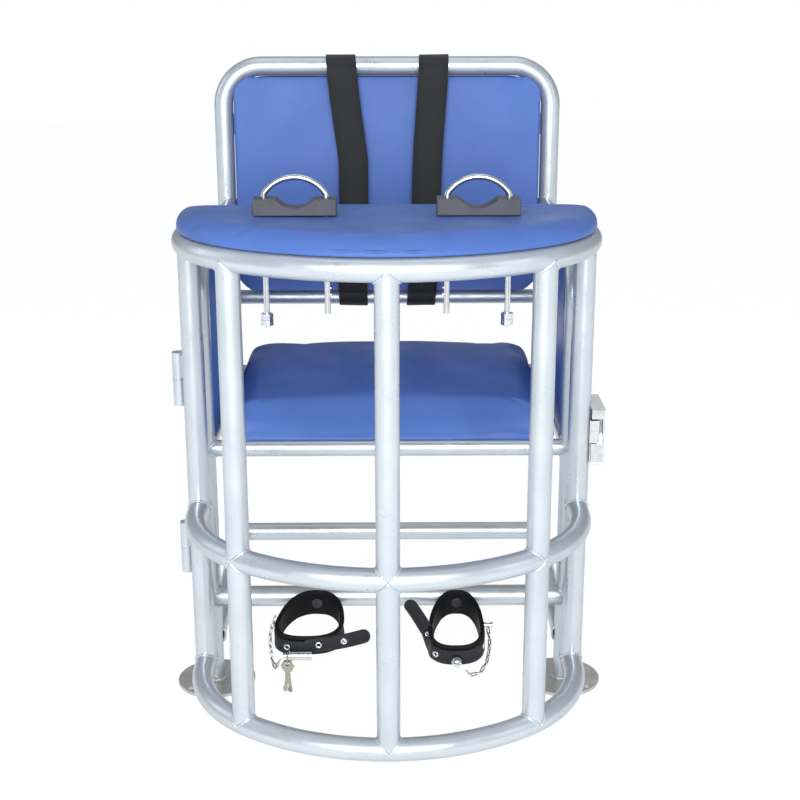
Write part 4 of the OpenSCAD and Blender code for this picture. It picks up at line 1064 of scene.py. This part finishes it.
def strap_path(cuff, t0, t1, tail, tail_len, bend, rise):
    """Centres, up directions and normals of a cuff's strap: round part of the band, then along its tail."""
    knots = []
    for t in cuff.turns(9, t0, t1):
        out = cuff.outward(t)
        knots.append((cuff.middle(t) + out * 2.5 + Vector((0, 0, CUFF_DROP)), Vector((0, 0, 1)), out))
    start, tilt, turn = tail
    spin = Matrix.Rotation(math.radians(turn), 3, "Z") @ Matrix.Rotation(math.radians(tilt), 3, "Y")
    along, up, flat = spin @ Vector((1, 0, 0)), spin @ Vector((0, 0, 1)), spin @ Vector((0, 1, 0))
    if flat.dot(knots[-1][2]) < 0:
        flat = -flat
    n = 8
    for i in range(n + 1):
        s = tail_len * i / n
        sway = flat * bend * math.sin(math.pi * i / n)
        knots.append((Vector(start) + along * s + sway + up * rise * (i / n) ** 2, up, flat))
    path = []
    for i in range(len(knots) - 1):
        a, b, c, d = knots[max(i - 1, 0)], knots[i], knots[i + 1], knots[min(i + 2, len(knots) - 1)]
        steps = max(2, int((c[0] - b[0]).length / 0.75))
        for k in range(steps):
            f = k / steps
            up, normal = b[1].lerp(c[1], f).normalized(), b[2].lerp(c[2], f).normalized()
            path.append((flow(a[0], b[0], c[0], d[0], f), up, normal))
    path.append(knots[-1])
    return path


def cuff_strap(name, path):
    """Ribbed webbing along path with a rounded free end, and the path's length at each station."""
    run, lengths = 0.0, [0.0]
    for a, b in zip(path, path[1:]):
        run += (b[0] - a[0]).length
        lengths.append(run)
    widths, thicks = [], []
    for s in lengths:
        left = max(0.0, run - s)
        nose = math.sqrt(max(0.03, 1 - max(0.0, 1 - left / CUFF_NOSE) ** 2.4))
        widths.append(CUFF_STRAP_W * nose * MM)
        thicks.append((2.3 + 0.9 * abs(math.sin(math.pi * s / 2.9))) * MM)
    centres = [P(*p[0]) for p in path]
    acrosses, normals = [], []
    for i, p in enumerate(path):
        a, b = path[max(i - 1, 0)][0], path[min(i + 1, len(path) - 1)][0]
        tangent = (b - a).normalized()
        across = (p[1] - tangent * p[1].dot(tangent)).normalized()
        normal = tangent.cross(across)
        normals.append(normal if normal.dot(p[2]) > 0 else -normal)
        acrosses.append(across)
    o = ribbon(name, centres, acrosses, normals, widths, thicks, cuff_web)
    return o, lengths


def eyelets(name, strap_obj, path, lengths, at):
    """Plated eyelets set in holes along a cuff's strap."""
    cutter, rings = bmesh.new(), bmesh.new()
    for s in at:
        i = min(range(len(lengths)), key=lambda k: abs(lengths[k] - s))
        centre, axis = P(*path[i][0]), path[i][2].normalized()
        lathe(cutter, CUTTER_PROFILE, centre, axis, 20)
        lathe(rings, EYELET_PROFILE, centre, axis, 28)
    bmesh.ops.recalc_face_normals(cutter, faces=cutter.faces)
    bmesh.ops.recalc_face_normals(rings, faces=rings.faces)
    tool = new_object(name + "_cutter", cutter, cuff_web)
    cut(strap_obj, tool)
    o = new_object(name, rings, bright)
    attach(o, "chair")


# Side, band and the turns that the strap covers, then
# the tail's (start, tilt, turn), its length, bend and rise, and where the eyelets are along the strap
CUFFS = (
    ("left", Cuff(-123.5, 123, 92, 34, 13.5), (0.26, 0.50),
     ((-116, -56.3, 112), -7.5, 0), 90, 3, 6, (49, 98, 136)),
    ("right", Cuff(100.5, 101, 96, 49, 4), (0.82, 0.35),
     ((59.5, -26.3, 117), -53, 155), 58, -2, 0, (56, 139, 175)),
)
for side, cuff, turns, tail, tail_len, bend, rise, holes in CUFFS:
    node = side + "_cuff"
    cuff_lining(side + "_cuff_lining", cuff, node)
    path = strap_path(cuff, *turns, tail, tail_len, bend, rise)
    band, lengths = cuff_strap(side + "_cuff_strap", path)
    eyelets(side + "_cuff_eyelets", band, path, lengths, holes)
    smooth_shade(band)
    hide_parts(node)
    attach(band, "chair")


# ---------------------------------------------------------------- floor and the end
def add_floor():
    """White to the camera and to reflections, and a plain pale floor to the other light."""
    m = Mat("floor", rough=0.9)
    m.color((0.93, 0.93, 0.93, 1))
    glow = m.node("Emission", Color=WHITE, Strength=1.06)
    path = m.t.nodes.new("ShaderNodeLightPath")
    seen = m.math("MAXIMUM", path.outputs["Is Camera Ray"], path.outputs["Is Glossy Ray"])
    blend = m.t.nodes.new("ShaderNodeMixShader")
    m.put(blend.inputs[0], m.math("MULTIPLY", seen, 0.9))
    m.put(blend.inputs[1], m.b.outputs[0])
    m.put(blend.inputs[2], glow.outputs[0])
    m.put(m.t.nodes["Material Output"].inputs["Surface"], blend.outputs[0])
    bm = bmesh.new()
    bmesh.ops.create_grid(bm, x_segments=2, y_segments=2, size=9)
    floor = new_object("floor", bm, m.m)
    floor.location.z = -0.0005      # just under the feet
    return floor


floor = add_floor()
